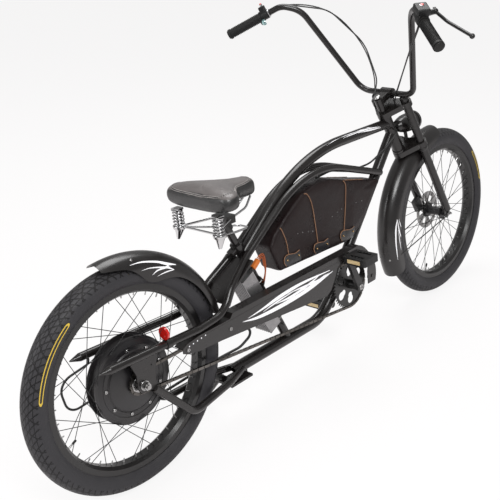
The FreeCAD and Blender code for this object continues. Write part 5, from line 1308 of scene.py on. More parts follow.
@dataclass(kw_only=True)
class WheelTrim(Trim):
    """What is moulded, printed or screwed onto one wheel; angles run in degrees from straight ahead."""

    which: str
    hub: Vector
    label_start: float
    label_end: float
    valve_turn: float
    label_lean: float = -84.0
    label_half_wide: float = 9.5
    label_inner_half: float = 5.25
    label_round: float = 3.04
    radius: float = 352.0
    section: float = 37.5
    rim_inside: float = 262.0
    spokes: int = 36

    def build(self) -> None:
        """Makes the trim."""
        self.build_label()
        self.build_nipples()
        self.build_valve()

    def on_tyre(self, turn: float, lean: float, lift: float) -> Vector:
        """A point on the tyre's skin.

        Args:
            turn: degrees round the hub from straight ahead.
            lean: degrees round the tyre's section, from the tread to the left.
            lift: millimetres above the skin.

        Returns:
            The point in the scene.
        """
        out = self.radius - self.section + (self.section + lift) * math.cos(math.radians(lean))
        side = (self.section + lift) * math.sin(math.radians(lean))
        angle = math.radians(turn)
        return PARKED.spot(self.hub.x + out * math.cos(angle), side, self.hub.z + out * math.sin(angle))

    def build_label(self) -> None:
        """The blank yellow label ring moulded on the tyre's sidewall."""
        self.shop.rest()
        bpy.ops.mesh.primitive_circle_add(vertices=72, radius=1.0, fill_type="NOTHING")
        ring = bpy.context.object
        with self.shop.editing():
            bpy.ops.mesh.extrude_edges_move()
            bpy.ops.transform.resize(value=(0.8, 0.8, 1.0), center_override=(0.0, 0.0, 0.0))
        middle = (self.label_start + self.label_end) / 2.0
        straight = (self.label_end - self.label_start) / 2.0 - self.label_round
        for vertex in ring.data.vertices:
            wide = self.label_half_wide if vertex.co.length > 0.9 else self.label_inner_half
            angle = math.atan2(vertex.co.y, vertex.co.x)
            share = math.cos(angle)
            reach = math.copysign(straight * min(1.0, abs(share) * 2.2), share)
            reach += share * self.label_round * (wide / self.label_half_wide)
            vertex.co = self.on_tyre(middle + reach, self.label_lean + math.sin(angle) * wide, 0.9)
        self.shop.thicken(ring, 0.35)
        self.dress(f"{self.which}_tyre_label_ring", self.palette.label, ring)

    def build_nipples(self) -> None:
        """A nipple at the rim end of every spoke."""
        profile = [(1.2, -13.0), (2.0, -11.5), (2.2, -2.0), (3.1, -0.6), (3.1, 1.2)]
        nipple = self.shop.turned(profile, segments=8)
        places = self.round_places(self.hub, self.rim_inside, self.spokes, math.pi / self.spokes)
        self.dress(f"{self.which}_nipples", self.palette.steel, self.shop.copies(nipple, places))

    def build_valve(self) -> None:
        """The valve stem with its dust cap."""
        angle = math.radians(self.valve_turn)
        out = Vector((math.cos(angle), 0.0, math.sin(angle)))
        foot = self.hub + out * (self.rim_inside + 1.0)
        stem = self.lathe([(3.9, 0.0), (3.9, 3.0), (2.9, 4.0), (2.6, 24.0), (2.2, 25.0)], foot, -out, 14)
        self.dress(f"{self.which}_valve_stem", self.palette.steel, stem)
        cap = self.lathe([(3.4, 19.5), (3.6, 22.0), (3.6, 31.0), (2.6, 33.5), (1.2, 34.2)], foot, -out, 14)
        self.dress(f"{self.which}_valve_cap", self.palette.rubber, cap)


@dataclass(kw_only=True)
class MotorTrim(Trim):
    """The hub motor's cover rings and screws, the freewheel's face and the axle's washers."""

    body: str = "rear_wheel"
    screws: int = 9
    screw_circle: float = 101.0
    screw_foot: float = 26.2
    cover_rings: tuple[tuple[str, float, float, float, int], ...] = (
        ("edge", 110.5, 1.3, 26.0, 96),
        ("step", 91.0, 1.1, 30.0, 80),
    )

    def build(self) -> None:
        """Makes the trim."""
        for side in Side:
            self.build_cover(side)
        face = self.lathe(
            [(29.0, 41.0), (29.0, 52.4), (26.0, 53.6), (22.0, 53.6), (20.5, 52.8), (16.4, 52.8)],
            REAR_HUB, Side.RIGHT.out, 40,
        )
        self.dress("freewheel_body", self.palette.steel, face)
        for side in Side:
            profile = [(15.6, 75.0), (15.6, 77.2), (14.9, 78.0), (12.4, 78.0)]
            washer = self.lathe(profile, REAR_HUB, side.out, 32)
            self.dress(f"axle_washer_{side.word}", self.palette.steel, washer, body="frame")

    def build_cover(self, side: Side) -> None:
        """The screws and the turned rings of one cover.

        Args:
            side: the cover's side.
        """
        first = 0.7 * math.pi / self.screws
        foot = REAR_HUB + side.out * self.screw_foot
        places = self.round_places(foot, self.screw_circle, self.screws, first, side.out)
        screws = self.shop.copies(self.shop.socket_head(5.2, 3.2), places)
        self.dress(f"motor_cover_screws_{side.word}", self.palette.steel, screws)
        for word, radius, wire, out, steps in self.cover_rings:
            ring = self.hoop(radius, wire, REAR_HUB + side.out * out, side.out, steps, 8)
            self.dress(f"motor_cover_{word}_{side.word}", self.palette.motor, ring)


@dataclass(kw_only=True)
class SaddleCover(Trim):
    """The padded saddle with its top panel, side band and double-stitched seam."""

    voxel: float = 4.5
    base_height: float = 766.0
    panel_rise: float = 0.52
    seam_rise: float = 0.55
    seam_middle: float = 455.0
    seam_points: int = 72
    seam_calm: int = 8
    stitch_pitch: float = 5.2
    stitch: tuple[Spot, ...] = (
        (-0.0019, 0.0, -0.0003), (-0.001, 0.0, 0.0004), (0.001, 0.0, 0.0004), (0.0019, 0.0, -0.0003),
    )
    up: Vector = field(default_factory=lambda: PARKED.way(0.0, 0.0, 1.0))

    def build(self, node: Piece) -> None:
        """Makes the cushion and its seam.

        Args:
            node: the plain CAD saddle.
        """
        shop = self.shop
        cushion = shop.soft_copy(node, self.voxel)
        shop.modify(cushion, "SMOOTH", iterations=10, factor=0.5)
        to_drawing = PARKED.matrix().inverted()
        held = [
            vertex.index for vertex in cushion.data.vertices
            if vertex.normal.z < -0.4 or (to_drawing @ vertex.co).z < self.base_height
        ]
        shop.swell(cushion, held, 3.5, 3.0)
        self.mark_panel(cushion)
        shop.modify(cushion, "SUBSURF", levels=1, render_levels=1)
        shop.settle(cushion, "saddle_cushion", self.palette.saddle, "frame", 80.0)
        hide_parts("saddle")
        line = self.seam_line(cushion)
        self.build_welt(cushion, line)
        for side_step, word in ((2.6, "upper"), (-2.6, "lower")):
            self.build_stitches(cushion, line, side_step, word)

    def mark_panel(self, cushion: Piece) -> None:
        """Marks the upward-facing top panel, which also carries the painted sheen, with an attribute.

        Args:
            cushion: the cushion.
        """
        mask = cushion.data.attributes.new("top_panel", "FLOAT", "POINT")
        for vertex in cushion.data.vertices:
            rise = vertex.normal.dot(self.up)
            mask.data[vertex.index].value = min(max((rise - self.panel_rise) / 0.1, 0.0), 1.0)

    def seam_line(self, cushion: Piece) -> list[Vector]:
        """The calmed seam round the cushion, from the cushion's own surface.

        Args:
            cushion: the finished cushion.

        Returns:
            Points on the seam, in order round the saddle.
        """
        to_drawing = PARKED.matrix().inverted()
        best: dict[int, tuple[float, Vector]] = {}
        for vertex in cushion.data.vertices:
            rise = vertex.normal.dot(self.up)
            if not 0.3 <= rise <= 0.8:
                continue
            spot = to_drawing @ vertex.co
            angle = math.atan2(spot.y, spot.x - self.seam_middle)
            key = int((angle + math.pi) / (2.0 * math.pi) * self.seam_points) % self.seam_points
            miss = abs(rise - self.seam_rise)
            if key not in best or miss < best[key][0]:
                best[key] = (miss, vertex.co + vertex.normal * 0.0006)
        line = [best[key][1] for key in sorted(best)]
        for _ in range(self.seam_calm):
            ahead = line[1:] + line[:1]
            line = [sum(near, Vector()) / 3.0 for near in zip(line[-1:] + line[:-1], line, ahead)]
        return line

    def build_welt(self, cushion: Piece, line: list[Vector]) -> None:
        """Lays the raised welt along the seam.

        Args:
            cushion: the finished cushion.
            line: the seam.
        """
        welt = self.shop.lay(self.shop.wire(line, 1.3, True), cushion, 0.3)
        self.dress("saddle_seam_welt", self.palette.saddle, self.shop.thicken(welt, 0.9), smooth=60.0)

    def build_stitches(self, cushion: Piece, line: list[Vector], side_step: float, word: str) -> None:
        """Sews one row of pale stitches beside the seam.

        Args:
            cushion: the finished cushion.
            line: the seam.
            side_step: how far above the seam the row runs, in millimetres.
            word: the row's name.
        """
        places = []
        for start, end in zip(line, line[1:] + line[:1]):
            steps = max(1, round((end - start).length / (self.stitch_pitch * 0.001)))
            heading = (end - start).normalized()
            for step in range(steps):
                spot = start.lerp(end, (step + 0.5) / steps)
                hit, place, normal, _ = cushion.closest_point_on_mesh(spot + self.up * side_step * 0.001)
                if not hit:
                    continue
                across = normal.cross(heading).normalized()
                along = across.cross(normal).normalized()
                turn = Matrix((along, across, normal)).transposed().to_4x4()
                places.append(Matrix.Translation(place + normal * 0.0004) @ turn)
        stitch = self.shop.wire([Vector(point) for point in self.stitch], 0.55, sides=1)
        self.dress(f"saddle_stitches_{word}", self.palette.thread, self.shop.copies(stitch, places))


@dataclass(kw_only=True)
class SaddleSprings(Trim):
    """The plated coils, cups and caps under the rear of the saddle."""

    ahead: float = 344.1
    side: float = 90.0
    low: float = 693.0
    high: float = 757.0
    turns: int = 5
    steps_a_turn: int = 14

    def build(self) -> None:
        """Makes both springs."""
        chrome = self.palette.chrome
        count = self.turns * self.steps_a_turn
        for side in Side:
            foot = side.mirror(self.ahead, self.side, self.low)
            points = []
            for index in range(count + 1):
                share = index / count
                angle = 2.0 * math.pi * self.turns * share
                radius = 15.5 + 2.0 * math.sin(math.pi * share)
                rise = 8.0 + (self.high - self.low - 14.0) * share
                points.append(foot + Vector((radius * math.cos(angle), radius * math.sin(angle), rise)))
            self.dress(f"saddle_coil_{side.word}", chrome, self.lead(points, 2.4, 3), smooth=60.0)
            cup = self.lathe(
                [
                    (6.0, -2.0), (19.0, -1.0), (21.0, 2.0), (21.5, 8.0), (20.5, 10.0), (18.5, 10.0),
                    (17.5, 6.0),
                ],
                foot, UP, 28,
            )
            self.dress(f"saddle_spring_cup_{side.word}", chrome, cup, smooth=50.0)
            top = side.mirror(self.ahead, self.side, self.high - 0.5)
            cap = self.lathe([(13.0, -4.5), (19.0, -4.0), (20.0, -1.5), (18.0, 0.5), (9.0, 1.0)], top, UP, 28)
            self.dress(f"saddle_spring_cap_{side.word}", chrome, cap, smooth=50.0)


@dataclass(kw_only=True)
class BatteryBag(Trim):
    """The leather battery bag with its piping, closing tabs, rivets and studs."""

    voxel: float = 6.0
    half_wide: float = 47.0
    seams: tuple[SideLine, ...] = (
        ((650.0, 624.0), (655.0, 616.0), (667.0, 590.0), (679.0, 553.0), (683.0, 513.0)),
        ((788.0, 706.0), (801.0, 692.0), (822.0, 651.0), (832.0, 581.0), (839.0, 502.0)),
        ((1008.0, 690.0), (1015.0, 658.0), (1011.0, 620.0), (1006.0, 583.0), (990.0, 499.0)),
    )
    tab_edge: SideLine = (
        (52.0, -3.0), (30.0, -7.0), (2.0, -2.0), (-16.0, -2.0), (-26.0, -11.0), (-27.0, -24.0),
        (-19.0, -39.0),
    )
    tab_middle: SideLine = ((-26.0, -21.0), (-10.0, -21.0), (14.0, -23.0), (36.0, -25.0), (56.0, -23.0))
    tab_widths: tuple[float, ...] = (22.0, 36.0, 38.0, 38.0, 40.0)
    tab_rivets: SideLine = ((-11.0, -19.0), (45.0, -20.0))
    studs: tuple[tuple[int, SideLine], ...] = (
        (4, ((737.0, 568.0), (777.0, 561.0), (817.0, 550.0))),
        (3, ((926.0, 570.0), (956.0, 577.0), (985.0, 580.0))),
        (2, ((1065.0, 581.0), (1100.0, 577.0))),
    )

    def build(self, node: Piece) -> None:
        """Makes the bag and everything sewn on it.

        Args:
            node: the plain CAD bag.
        """
        shop = self.shop
        bag = shop.soft_copy(node, self.voxel)
        to_drawing = PARKED.matrix().inverted()
        held = [vertex.index for vertex in bag.data.vertices if self.is_held(to_drawing @ vertex.co)]
        shop.swell(bag, held, 3.0, 4.5)
        shop.modify(bag, "SUBSURF", levels=1, render_levels=1)
        shop.settle(bag, "battery_bag_leather", self.palette.bag, "frame", 80.0)
        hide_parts("battery_bag")
        for side in Side:
            self.sew_side(bag, side)
            self.set_studs(bag, side)

    def is_held(self, spot: Vector) -> bool:
        """Whether a drawing point of the bag is held while it swells.

        Args:
            spot: the point.

        Returns:
            True between the flanks and along the seams.
        """
        if abs(spot.y) < self.half_wide - 12.0:
            return True
        return min(self.seam_distance(Vector((spot.x, spot.z)), seam) for seam in self.seams) < 9.0

    def seam_distance(self, spot: Vector, seam: SideLine) -> float:
        """How far a side-view point lies from a seam.

        Args:
            spot: the point.
            seam: the seam's corners.

        Returns:
            The distance in millimetres.
        """
        best = math.inf
        for start, end in zip(seam, seam[1:]):
            run = Vector(end) - Vector(start)
            off = spot - Vector(start)
            share = min(max(off.dot(run) / run.length_squared, 0.0), 1.0)
            best = min(best, (off - run * share).length)
        return best

    def on_flank(self, bag: Piece, place: Iterable[float], side: Side, lift: float) -> tuple[Vector, Vector]:
        """A point on the bag's flank and the way it faces.

        Args:
            bag: the finished bag.
            place: the point's place ahead and up, in millimetres.
            side: the flank's side.
            lift: millimetres above the leather.

        Returns:
            The point in the scene and the flank's normal.
        """
        x, z = place
        outside = PARKED.spot(*side.mirror(x, self.half_wide + 12.0, z))
        _, spot, normal, _ = bag.closest_point_on_mesh(outside)
        return spot + normal * lift * 0.001, normal

    def pipe(self, bag: Piece, side: Side, run: SideRun, radius: float, lift: float = 1.0) -> Piece:
        """Lays a piping on the flank along side-view points."""
        return self.shop.wire([self.on_flank(bag, place, side, lift)[0] for place in run], radius)

    def sew_side(self, bag: Piece, side: Side) -> None:
        """Piping, tabs and rivets of one flank.

        Args:
            bag: the finished bag.
            side: the flank's side.
        """
        shop = self.shop
        pipes = []
        rivets = []
        for number, seam in enumerate(self.seams, start=1):
            end_x, end_z = seam[-1]
            pipes.append(self.pipe(bag, side, shop.side_run(seam, 20), 1.7))
            edge = [(end_x + ahead, end_z + up) for ahead, up in self.tab_edge]
            pipes.append(self.pipe(bag, side, shop.side_run(edge, 24), 1.6, 2.4))
            for ahead, up in self.tab_rivets:
                foot, normal = self.on_flank(bag, (end_x + ahead, end_z + up), side, 3.0)
                rivets.append(shop.dome(3.8, 4.6, foot, normal))
            middle = [(end_x + ahead, end_z + up) for ahead, up in self.tab_middle]
            self.build_tab(bag, side, f"{side.word}_{number}", middle)
        top = [(1030.0 + 8.0 * index, 712.0) for index in range(16)]
        pipes.append(self.pipe(bag, side, top, 1.5))
        self.dress(f"bag_piping_{side.word}", self.palette.piping, *pipes, smooth=60.0)
        self.dress(f"bag_rivets_{side.word}", self.palette.brass, *rivets, smooth=50.0)

    def build_tab(self, bag: Piece, side: Side, word: str, middle: SideRun) -> None:
        """One leather closing tab that lies on the flank.

        Args:
            bag: the finished bag.
            side: the flank's side.
            word: the tab's name.
            middle: the tab's middle line in side view.
        """
        path = [self.on_flank(bag, place, side, 0.6)[0] for place in middle]
        tab = self.shop.ribbon(path, list(self.tab_widths), PARKED.way(*side.out), 18, 5)
        self.shop.thicken(self.shop.lay(tab, bag, 0.8), 2.6)
        self.dress(f"bag_tab_{word}", self.palette.tab, tab, smooth=40.0)

    def set_studs(self, bag: Piece, side: Side) -> None:
        """The rows of small steel studs between the seams.

        Args:
            bag: the finished bag.
            side: the flank's side.
        """
        studs = []
        for count, row in self.studs:
            for place in self.shop.side_run(row, count - 1):
                studs.append(self.shop.dome(1.9, 1.6, *self.on_flank(bag, place, side, -0.3)))
        self.dress(f"bag_studs_{side.word}", self.palette.steel, *studs)


def beside(left: float, strokes: list[tuple[Spot, ...]]) -> list[Stroke]:
    """Strokes on a flat flank, from points ahead and up with their widths."""
    return [tuple((x, left, z, width) for x, z, width in stroke) for stroke in strokes]


GUARD_FLASH = beside(-84.0, [
    (
        (404.0, 385.0, 1.0), (480.0, 371.0, 10.0), (600.0, 367.0, 15.0), (740.0, 372.0, 13.0),
        (868.0, 389.0, 2.0),
    ),
    (
        (430.0, 387.0, 1.0), (500.0, 392.0, 7.0), (590.0, 402.0, 13.0), (700.0, 406.0, 10.0),
        (852.0, 398.0, 2.0),
    ),
    ((560.0, 384.0, 1.0), (640.0, 380.0, 9.0), (730.0, 388.0, 8.0), (800.0, 402.0, 1.0)),
    ((620.0, 396.0, 1.0), (700.0, 391.0, 6.0), (790.0, 384.0, 8.0), (845.0, 390.0, 1.0)),
    ((500.0, 381.0, 1.0), (570.0, 389.0, 6.0), (650.0, 393.0, 1.0)),
    ((690.0, 379.0, 1.0), (760.0, 381.0, 6.0), (830.0, 392.0, 1.0)),
])
GUARD_CREASE = beside(-84.0, [
    ((224.0, 409.0, 1.0), (394.0, 412.0, 2.2), (640.0, 413.0, 2.2), (900.0, 410.0, 1.0)),
])
TUBE_FLAMES = beside(20.5, [
    ((963.0, 822.0, 1.0), (1040.0, 836.0, 5.0), (1120.0, 838.0, 8.0), (1200.0, 828.0, 1.5)),
    ((1060.0, 822.0, 1.0), (1130.0, 826.0, 7.0), (1210.0, 822.0, 7.0), (1282.0, 810.0, 1.0)),
    ((1110.0, 834.0, 1.0), (1180.0, 838.0, 6.0), (1240.0, 826.0, 1.0)),
    ((1150.0, 820.0, 1.0), (1220.0, 812.0, 6.0), (1286.0, 806.0, 1.0)),
])
REAR_PINSTRIPES: list[Stroke] = [
    (
        (40.0, 42.0, 703.0, 0.8), (81.0, 41.0, 698.0, 4.0), (134.0, 41.0, 680.0, 6.0),
        (168.0, 42.0, 662.0, 8.0), (203.0, 39.0, 646.0, 2.0),
    ),
    (
        (203.0, 39.0, 646.0, 2.5), (164.0, 44.0, 654.0, 8.0), (131.0, 45.5, 656.0, 5.0),
        (109.0, 45.5, 649.0, 0.8),
    ),
    (
        (74.0, 45.5, 675.0, 0.6), (101.0, 45.5, 673.0, 2.5), (139.0, 45.5, 662.0, 4.0),
        (169.0, 45.5, 650.0, 5.0), (190.0, 45.5, 636.0, 1.5),
    ),
    ((190.0, 45.5, 636.0, 1.5), (161.0, 45.5, 640.0, 3.5), (127.0, 45.5, 639.0, 0.6)),
]
FRONT_PINSTRIPES: list[Stroke] = [
    (
        (1332.0, 44.0, 430.0, 1.5), (1322.0, 43.0, 391.0, 7.0), (1319.0, 43.0, 346.0, 6.0),
        (1322.0, 43.0, 300.0, 4.0), (1328.0, 43.0, 259.0, 0.8),
    ),
    (
        (1332.0, 44.0, 430.0, 1.5), (1340.0, 45.5, 385.0, 6.0), (1352.0, 45.5, 350.0, 4.0),
        (1364.0, 45.5, 326.0, 0.8),
    ),
    ((1342.0, 45.5, 428.0, 1.0), (1350.0, 45.5, 404.0, 4.0), (1362.0, 45.5, 374.0, 0.6)),
    ((1335.0, 45.5, 386.0, 1.0), (1342.0, 45.5, 338.0, 4.0), (1350.0, 45.5, 294.0, 0.6)),
]


@dataclass(kw_only=True)
class Decals(Trim):
    """The pale flame strokes on the guard, the top tube and both fenders."""

    guard_face: float = 82.0
    dots: int = 5

    def build(self, nodes: dict[str, Piece]) -> None:
        """Lays every stroke.

        Args:
            nodes: the CAD nodes that carry them.
        """
        decal = self.palette.decal
        guard = nodes["chain_guard"]
        right = Side.RIGHT.out
        self.lay("guard_flash", decal, guard, GUARD_FLASH, right)
        self.lay("guard_highlight_line", self.palette.frame, guard, GUARD_CREASE, right)
        dots = []
        for index in range(self.dots):
            foot = Vector((176.0 + 17.0 * index, -self.guard_face, 400.0 + 2.0 * index))
            dots.append(self.rivet(2.2, 0.9, foot, right))
        self.dress("guard_dots", decal, *dots)
        for node, word, strokes, look, body in (
            ("top_tube", "flame", TUBE_FLAMES, (0.0, 1.0, 0.0), "frame"),
            ("rear_fender", "pinstripes", REAR_PINSTRIPES, (0.0, 0.95, 0.3), "frame"),
            ("front_fender", "pinstripes", FRONT_PINSTRIPES, (-0.2, 1.0, 0.0), "steering"),
        ):
            for side in Side:
                mirrored = [self.mirror(stroke, side) for stroke in strokes]
                name = f"{node}_{word}_{side.word}"
                self.lay(name, decal, nodes[node], mirrored, side.mirror(*look), body)

    def mirror(self, stroke: Stroke, side: Side) -> Stroke:
        """A stroke of the left side, carried to a side."""
        return tuple((*side.mirror(x, y, z), width) for x, y, z, width in stroke)

    def lay(
        self, name: str, finish: Finish, node: Piece, strokes: list[Stroke], facing: Vector,
        body: str = "frame",
    ) -> None:
        """Lays a set of strokes on a node as one piece.

        Args:
            name: the piece's name.
            finish: its finish.
            node: the node that carries it.
            strokes: drawing points with the stroke's width at each, in millimetres.
            facing: the drawing direction in which the strokes look before they are laid.
            body: the body that it rides on.
        """
        shop = self.shop
        pieces = []
        for stroke in strokes:
            path = [PARKED.spot(x, y, z) for x, y, z, _ in stroke]
            band = shop.ribbon(path, [width for *_, width in stroke], PARKED.way(*facing), 30, 4)
            pieces.append(shop.thicken(shop.lay(band, node, 0.25), 0.15))
        self.dress(name, finish, *pieces, body=body)


@dataclass(kw_only=True)
class Fasteners(Trim):
    """Bolts, rivets and caps on the crowns, the guard, the cranks, the front hub and the fenders."""

    leg_side: float = 63.0
    guard_face: float = 82.0
    guard_screws: SideLine = ((170.0, 391.0), (350.0, 384.0), (1084.0, 344.0))

    def build(self) -> None:
        """Makes every fastener."""
        self.crown_bolts()
        self.screw_guard()
        self.crank_caps()
        self.rotor_screws()
        self.fender_rivets()

    def crown_bolts(self) -> None:
        """The pinch bolts of both crowns, the steerer's cap and the fork legs' collars."""
        pieces = []
        for down in (0.0, 201.0):
            for side in Side:
                across = side.value * self.leg_side
                pieces.append(self.screw(4.6, 4.5, on_head(down, 84.5, across), HEAD_AHEAD))
                pieces.append(self.screw(4.2, 4.0, on_head(down, 43.0, across), -HEAD_AHEAD))
        cap = [(13.0, 0.0), (13.6, 2.0), (11.0, 5.0), (5.5, 6.0), (5.0, 3.5)]
        pieces.append(self.lathe(cap, on_head(-78.0), -HEAD_DOWN, 28))
        self.dress("crown_bolts", self.palette.steel, *pieces, body="steering")
        collar = [(18.6, -6.0), (19.4, -4.0), (19.4, 8.0), (17.6, 11.0), (16.4, 11.0)]
        feet = [on_head(222.0, 64.0, side.value * self.leg_side) for side in Side]
        collars = [self.lathe(collar, foot, HEAD_DOWN, 28) for foot in feet]
        self.dress("fork_leg_collars", self.palette.parts, *collars, body="steering")

    def screw_guard(self) -> None:
        """The screws through the guard's flank."""
        feet = [Vector((x, -self.guard_face, z)) for x, z in self.guard_screws]
        screws = [self.screw(6.2, 3.4, foot, Side.RIGHT.out) for foot in feet]
        self.dress("guard_screws", self.palette.steel, *screws)

    def crank_caps(self) -> None:
        """The caps over the crank bolts."""
        cap = [(11.0, 0.0), (11.6, 1.6), (10.6, 3.2), (5.2, 3.6), (4.8, 1.4)]
        caps = [self.lathe(cap, CRANK_AXLE + side.out * 103.5, side.out) for side in Side]
        self.dress("crank_bolt_caps", self.palette.steel, *caps, body="cranks")

    def rotor_screws(self) -> None:
        """The six rotor screws on the front hub."""
        low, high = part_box("front_rotor")
        left = (PARKED.matrix().inverted() @ ((low + high) / 2.0)).y + 1.2
        centre = FRONT_HUB + Side.LEFT.out * left
        places = self.round_places(centre, 22.0, 6, 0.3, Side.LEFT.out)
        screws = self.shop.copies(self.shop.socket_head(4.0, 2.6), places)
        self.dress("rotor_screws", self.palette.chrome, screws, body="front_wheel")

    def fender_rivets(self) -> None:
        """The rivets on both shoulders near the rear end of each fender."""
        for word, foot, out, body in (
            ("rear", (52.0, 34.0, 713.0), (0.1, 0.75, 0.66), "frame"),
            ("front", (1302.0, 23.0, 262.0), (-0.82, 0.5, -0.2), "steering"),
        ):
            rivets = [self.rivet(4.4, 2.4, side.mirror(*foot), side.mirror(*out)) for side in Side]
            self.dress(f"{word}_fender_rivets", self.palette.steel, *rivets, body=body)


@dataclass(kw_only=True)
class Cockpit(Trim):
    """What is on the handlebar: grip ribs and caps, buttons, bell, clamp, lever pivot and cable strands."""

    body: str = "steering"
    grip_end: Vector = field(default_factory=lambda: on_head(-439.6, -126.6, 465.0))
    bend: Vector = field(default_factory=lambda: on_head(-465.4, 14.6, 300.0))
    turn_deg: float = 3.84
    inner_end: float = 136.0
    ribs: int = 18
    rib_pitch: float = 6.4
    pod_middle: float = 27.0

    def twisted(self, point: Vector) -> Vector:
        """Turns a drawing point with the bar about the steering axis."""
        return HEAD_TOP + Matrix.Rotation(math.radians(self.turn_deg), 3, HEAD_DOWN) @ (point - HEAD_TOP)

    def grip(self, side: Side) -> tuple[Vector, Vector]:
        """The grip's end as a drawing point and its outward way."""
        end = self.twisted(side.mirror(*self.grip_end))
        return end, (end - self.twisted(side.mirror(*self.bend))).normalized()

    def build(self) -> None:
        """Makes the pieces."""
        for side in Side:
            self.build_grip(side)
        self.build_left()
        self.build_right()
        self.build_strands()

    def build_grip(self, side: Side) -> None:
        """The ribs and the end cap of one grip.

        Args:
            side: the grip's side.
        """
        end, way = self.grip(side)
        feet = [end - way * (12.0 + self.rib_pitch * index) for index in range(self.ribs)]
        places = [self.shop.aim(PARKED.spot(*foot), PARKED.way(*way)) for foot in feet]
        ribs = self.shop.copies(self.shop.ring(17.3, 1.1, 32, 6), places)
        self.dress(f"grip_ribs_{side.word}", self.palette.rubber, ribs, smooth=60.0)
        cap = self.lathe([(15.0, 3.0), (16.5, 5.0), (15.5, 8.5), (9.0, 10.0), (4.0, 10.2)], end, way, 28)
        self.dress(f"grip_cap_{side.word}", self.palette.rubber, cap, smooth=60.0)

    def build_left(self) -> None:
        """The silver clamp, red button and teal bell beside the left grip."""
        palette = self.palette
        end, way = self.grip(Side.LEFT)
        start = end - way * self.inner_end
        clamp = self.lathe([(14.0, -33.5), (15.2, -32.0), (15.2, -29.5), (14.0, -28.0)], start, way, 28)
        self.dress("left_silver_clamp", palette.chrome, clamp)
        foot = start - way * 14.0
        upward = Vector((-0.25, 0.2, 0.95)).normalized()
        stem = self.lathe([(4.4, 15.0), (4.4, 36.0), (5.6, 37.5), (5.6, 42.0)], foot, upward, 18)
        self.dress("left_button_stem", palette.chrome, stem)
        self.dress("left_red_button", palette.red, self.rivet(4.6, 4.0, foot + upward * 41.5, upward))
        bell = self.lathe(
            [(11.4, -6.0), (11.8, -4.0), (11.0, 1.5), (8.6, 5.2), (4.8, 7.4), (1.6, 8.0)],
            start - way * 26.0 + Vector((-26.0, 0.0, -30.0)), Vector((-0.5, 0.35, -0.4)), 28,
        )
        self.dress("left_bell", palette.teal, bell, smooth=60.0)

    def build_right(self) -> None:
        """The throttle pod's red button with its ring, and the lever's pivot bolt."""
        palette = self.palette
        end, way = self.grip(Side.RIGHT)
        start = end - way * self.inner_end
        up = (UP - way * UP.dot(way)).normalized()
        foot = start - way * (self.pod_middle + 6.0) + up * 41.5
        button = self.lathe([(5.6, 0.0), (5.8, 2.2), (4.6, 3.6), (1.6, 4.0)], foot, up, 20)
        self.dress("right_red_button", palette.red, button)
        ring = self.lathe([(7.4, -0.6), (7.4, 1.0), (6.6, 1.4)], foot, up, 20)
        self.dress("right_button_ring", palette.chrome, ring)
        perch = start - way * (self.pod_middle + 24.0)
        knuckle = perch + way * 11.0 + Vector((0.80, -0.28, 0.10)).normalized() * 60.0
        self.dress("lever_pivot_bolt", palette.steel, self.screw(5.2, 4.0, knuckle + UP * 8.2, UP))

    def build_strands(self) -> None:
        """The second strand that hangs beside each cable of the handlebar."""
        end, way = self.grip(Side.LEFT)
        start = end - way * 159.0 + Vector((21.0, 4.0, 10.0))
        left = [
            start, start + Vector((44.0, -30.0, 22.0)), (1311.0, 208.0, 1243.0), (1392.0, 128.0, 1112.0),
            (1376.0, 60.0, 985.0), on_head(-66.0, 24.0, 30.0), on_head(-12.0, 20.0, 15.0),
        ]
        end, way = self.grip(Side.RIGHT)
        start = end - way * 188.0 + Vector((15.0, 3.0, -22.0))
        right = [
            start, start + Vector((19.0, 26.0, -34.0)), (1204.0, -200.0, 1084.0), (1298.0, -98.0, 962.0),
            on_head(-54.0, 40.0, -50.0), on_head(-12.0, 46.0, -28.0),
        ]
        for side, line in ((Side.LEFT, left), (Side.RIGHT, right)):
            self.dress(f"bar_strand_{side.word}", self.palette.cable, self.lead(line, 2.3), smooth=60.0)


@dataclass(kw_only=True)
class PedalTrim(Trim):
    """The moulded tread blocks of both pedals."""

    crank: float = 160.0
    angle_deg: float = 114.0
    first_block: float = 120.0
    block_pitch: float = 14.0
    rows: tuple[float, ...] = (-36.0, -27.0, 27.0, 36.0)
    half_thick: float = 12.6

    def build(self) -> None:
        """Makes the blocks."""
        angle = math.radians(self.angle_deg)
        right_arm = Vector((math.cos(angle), 0.0, math.sin(angle))) * self.crank
        for side in Side:
            middle = CRANK_AXLE - right_arm * side.value
            places = []
            for ahead in self.rows:
                for step in range(6):
                    for up in (-self.half_thick, self.half_thick):
                        out = self.first_block + self.block_pitch * step
                        spot = PARKED.spot(*(middle + side.mirror(ahead, out, up)))
                        places.append(Matrix.Translation(spot) @ PARKED.lean())
            block = self.shop.block((8.0, 8.0, 2.4), Matrix.Identity(4), 0.8)
            blocks = self.shop.copies(block, places)
            low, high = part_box(f"pedal_{side.word}")
            log.info("pedal_%s is %.0f mm high", side.word, (high.z - low.z) * 1000.0)
            self.dress(f"pedal_tread_{side.word}", self.palette.plastic, blocks, body=f"{side.word}_pedal")


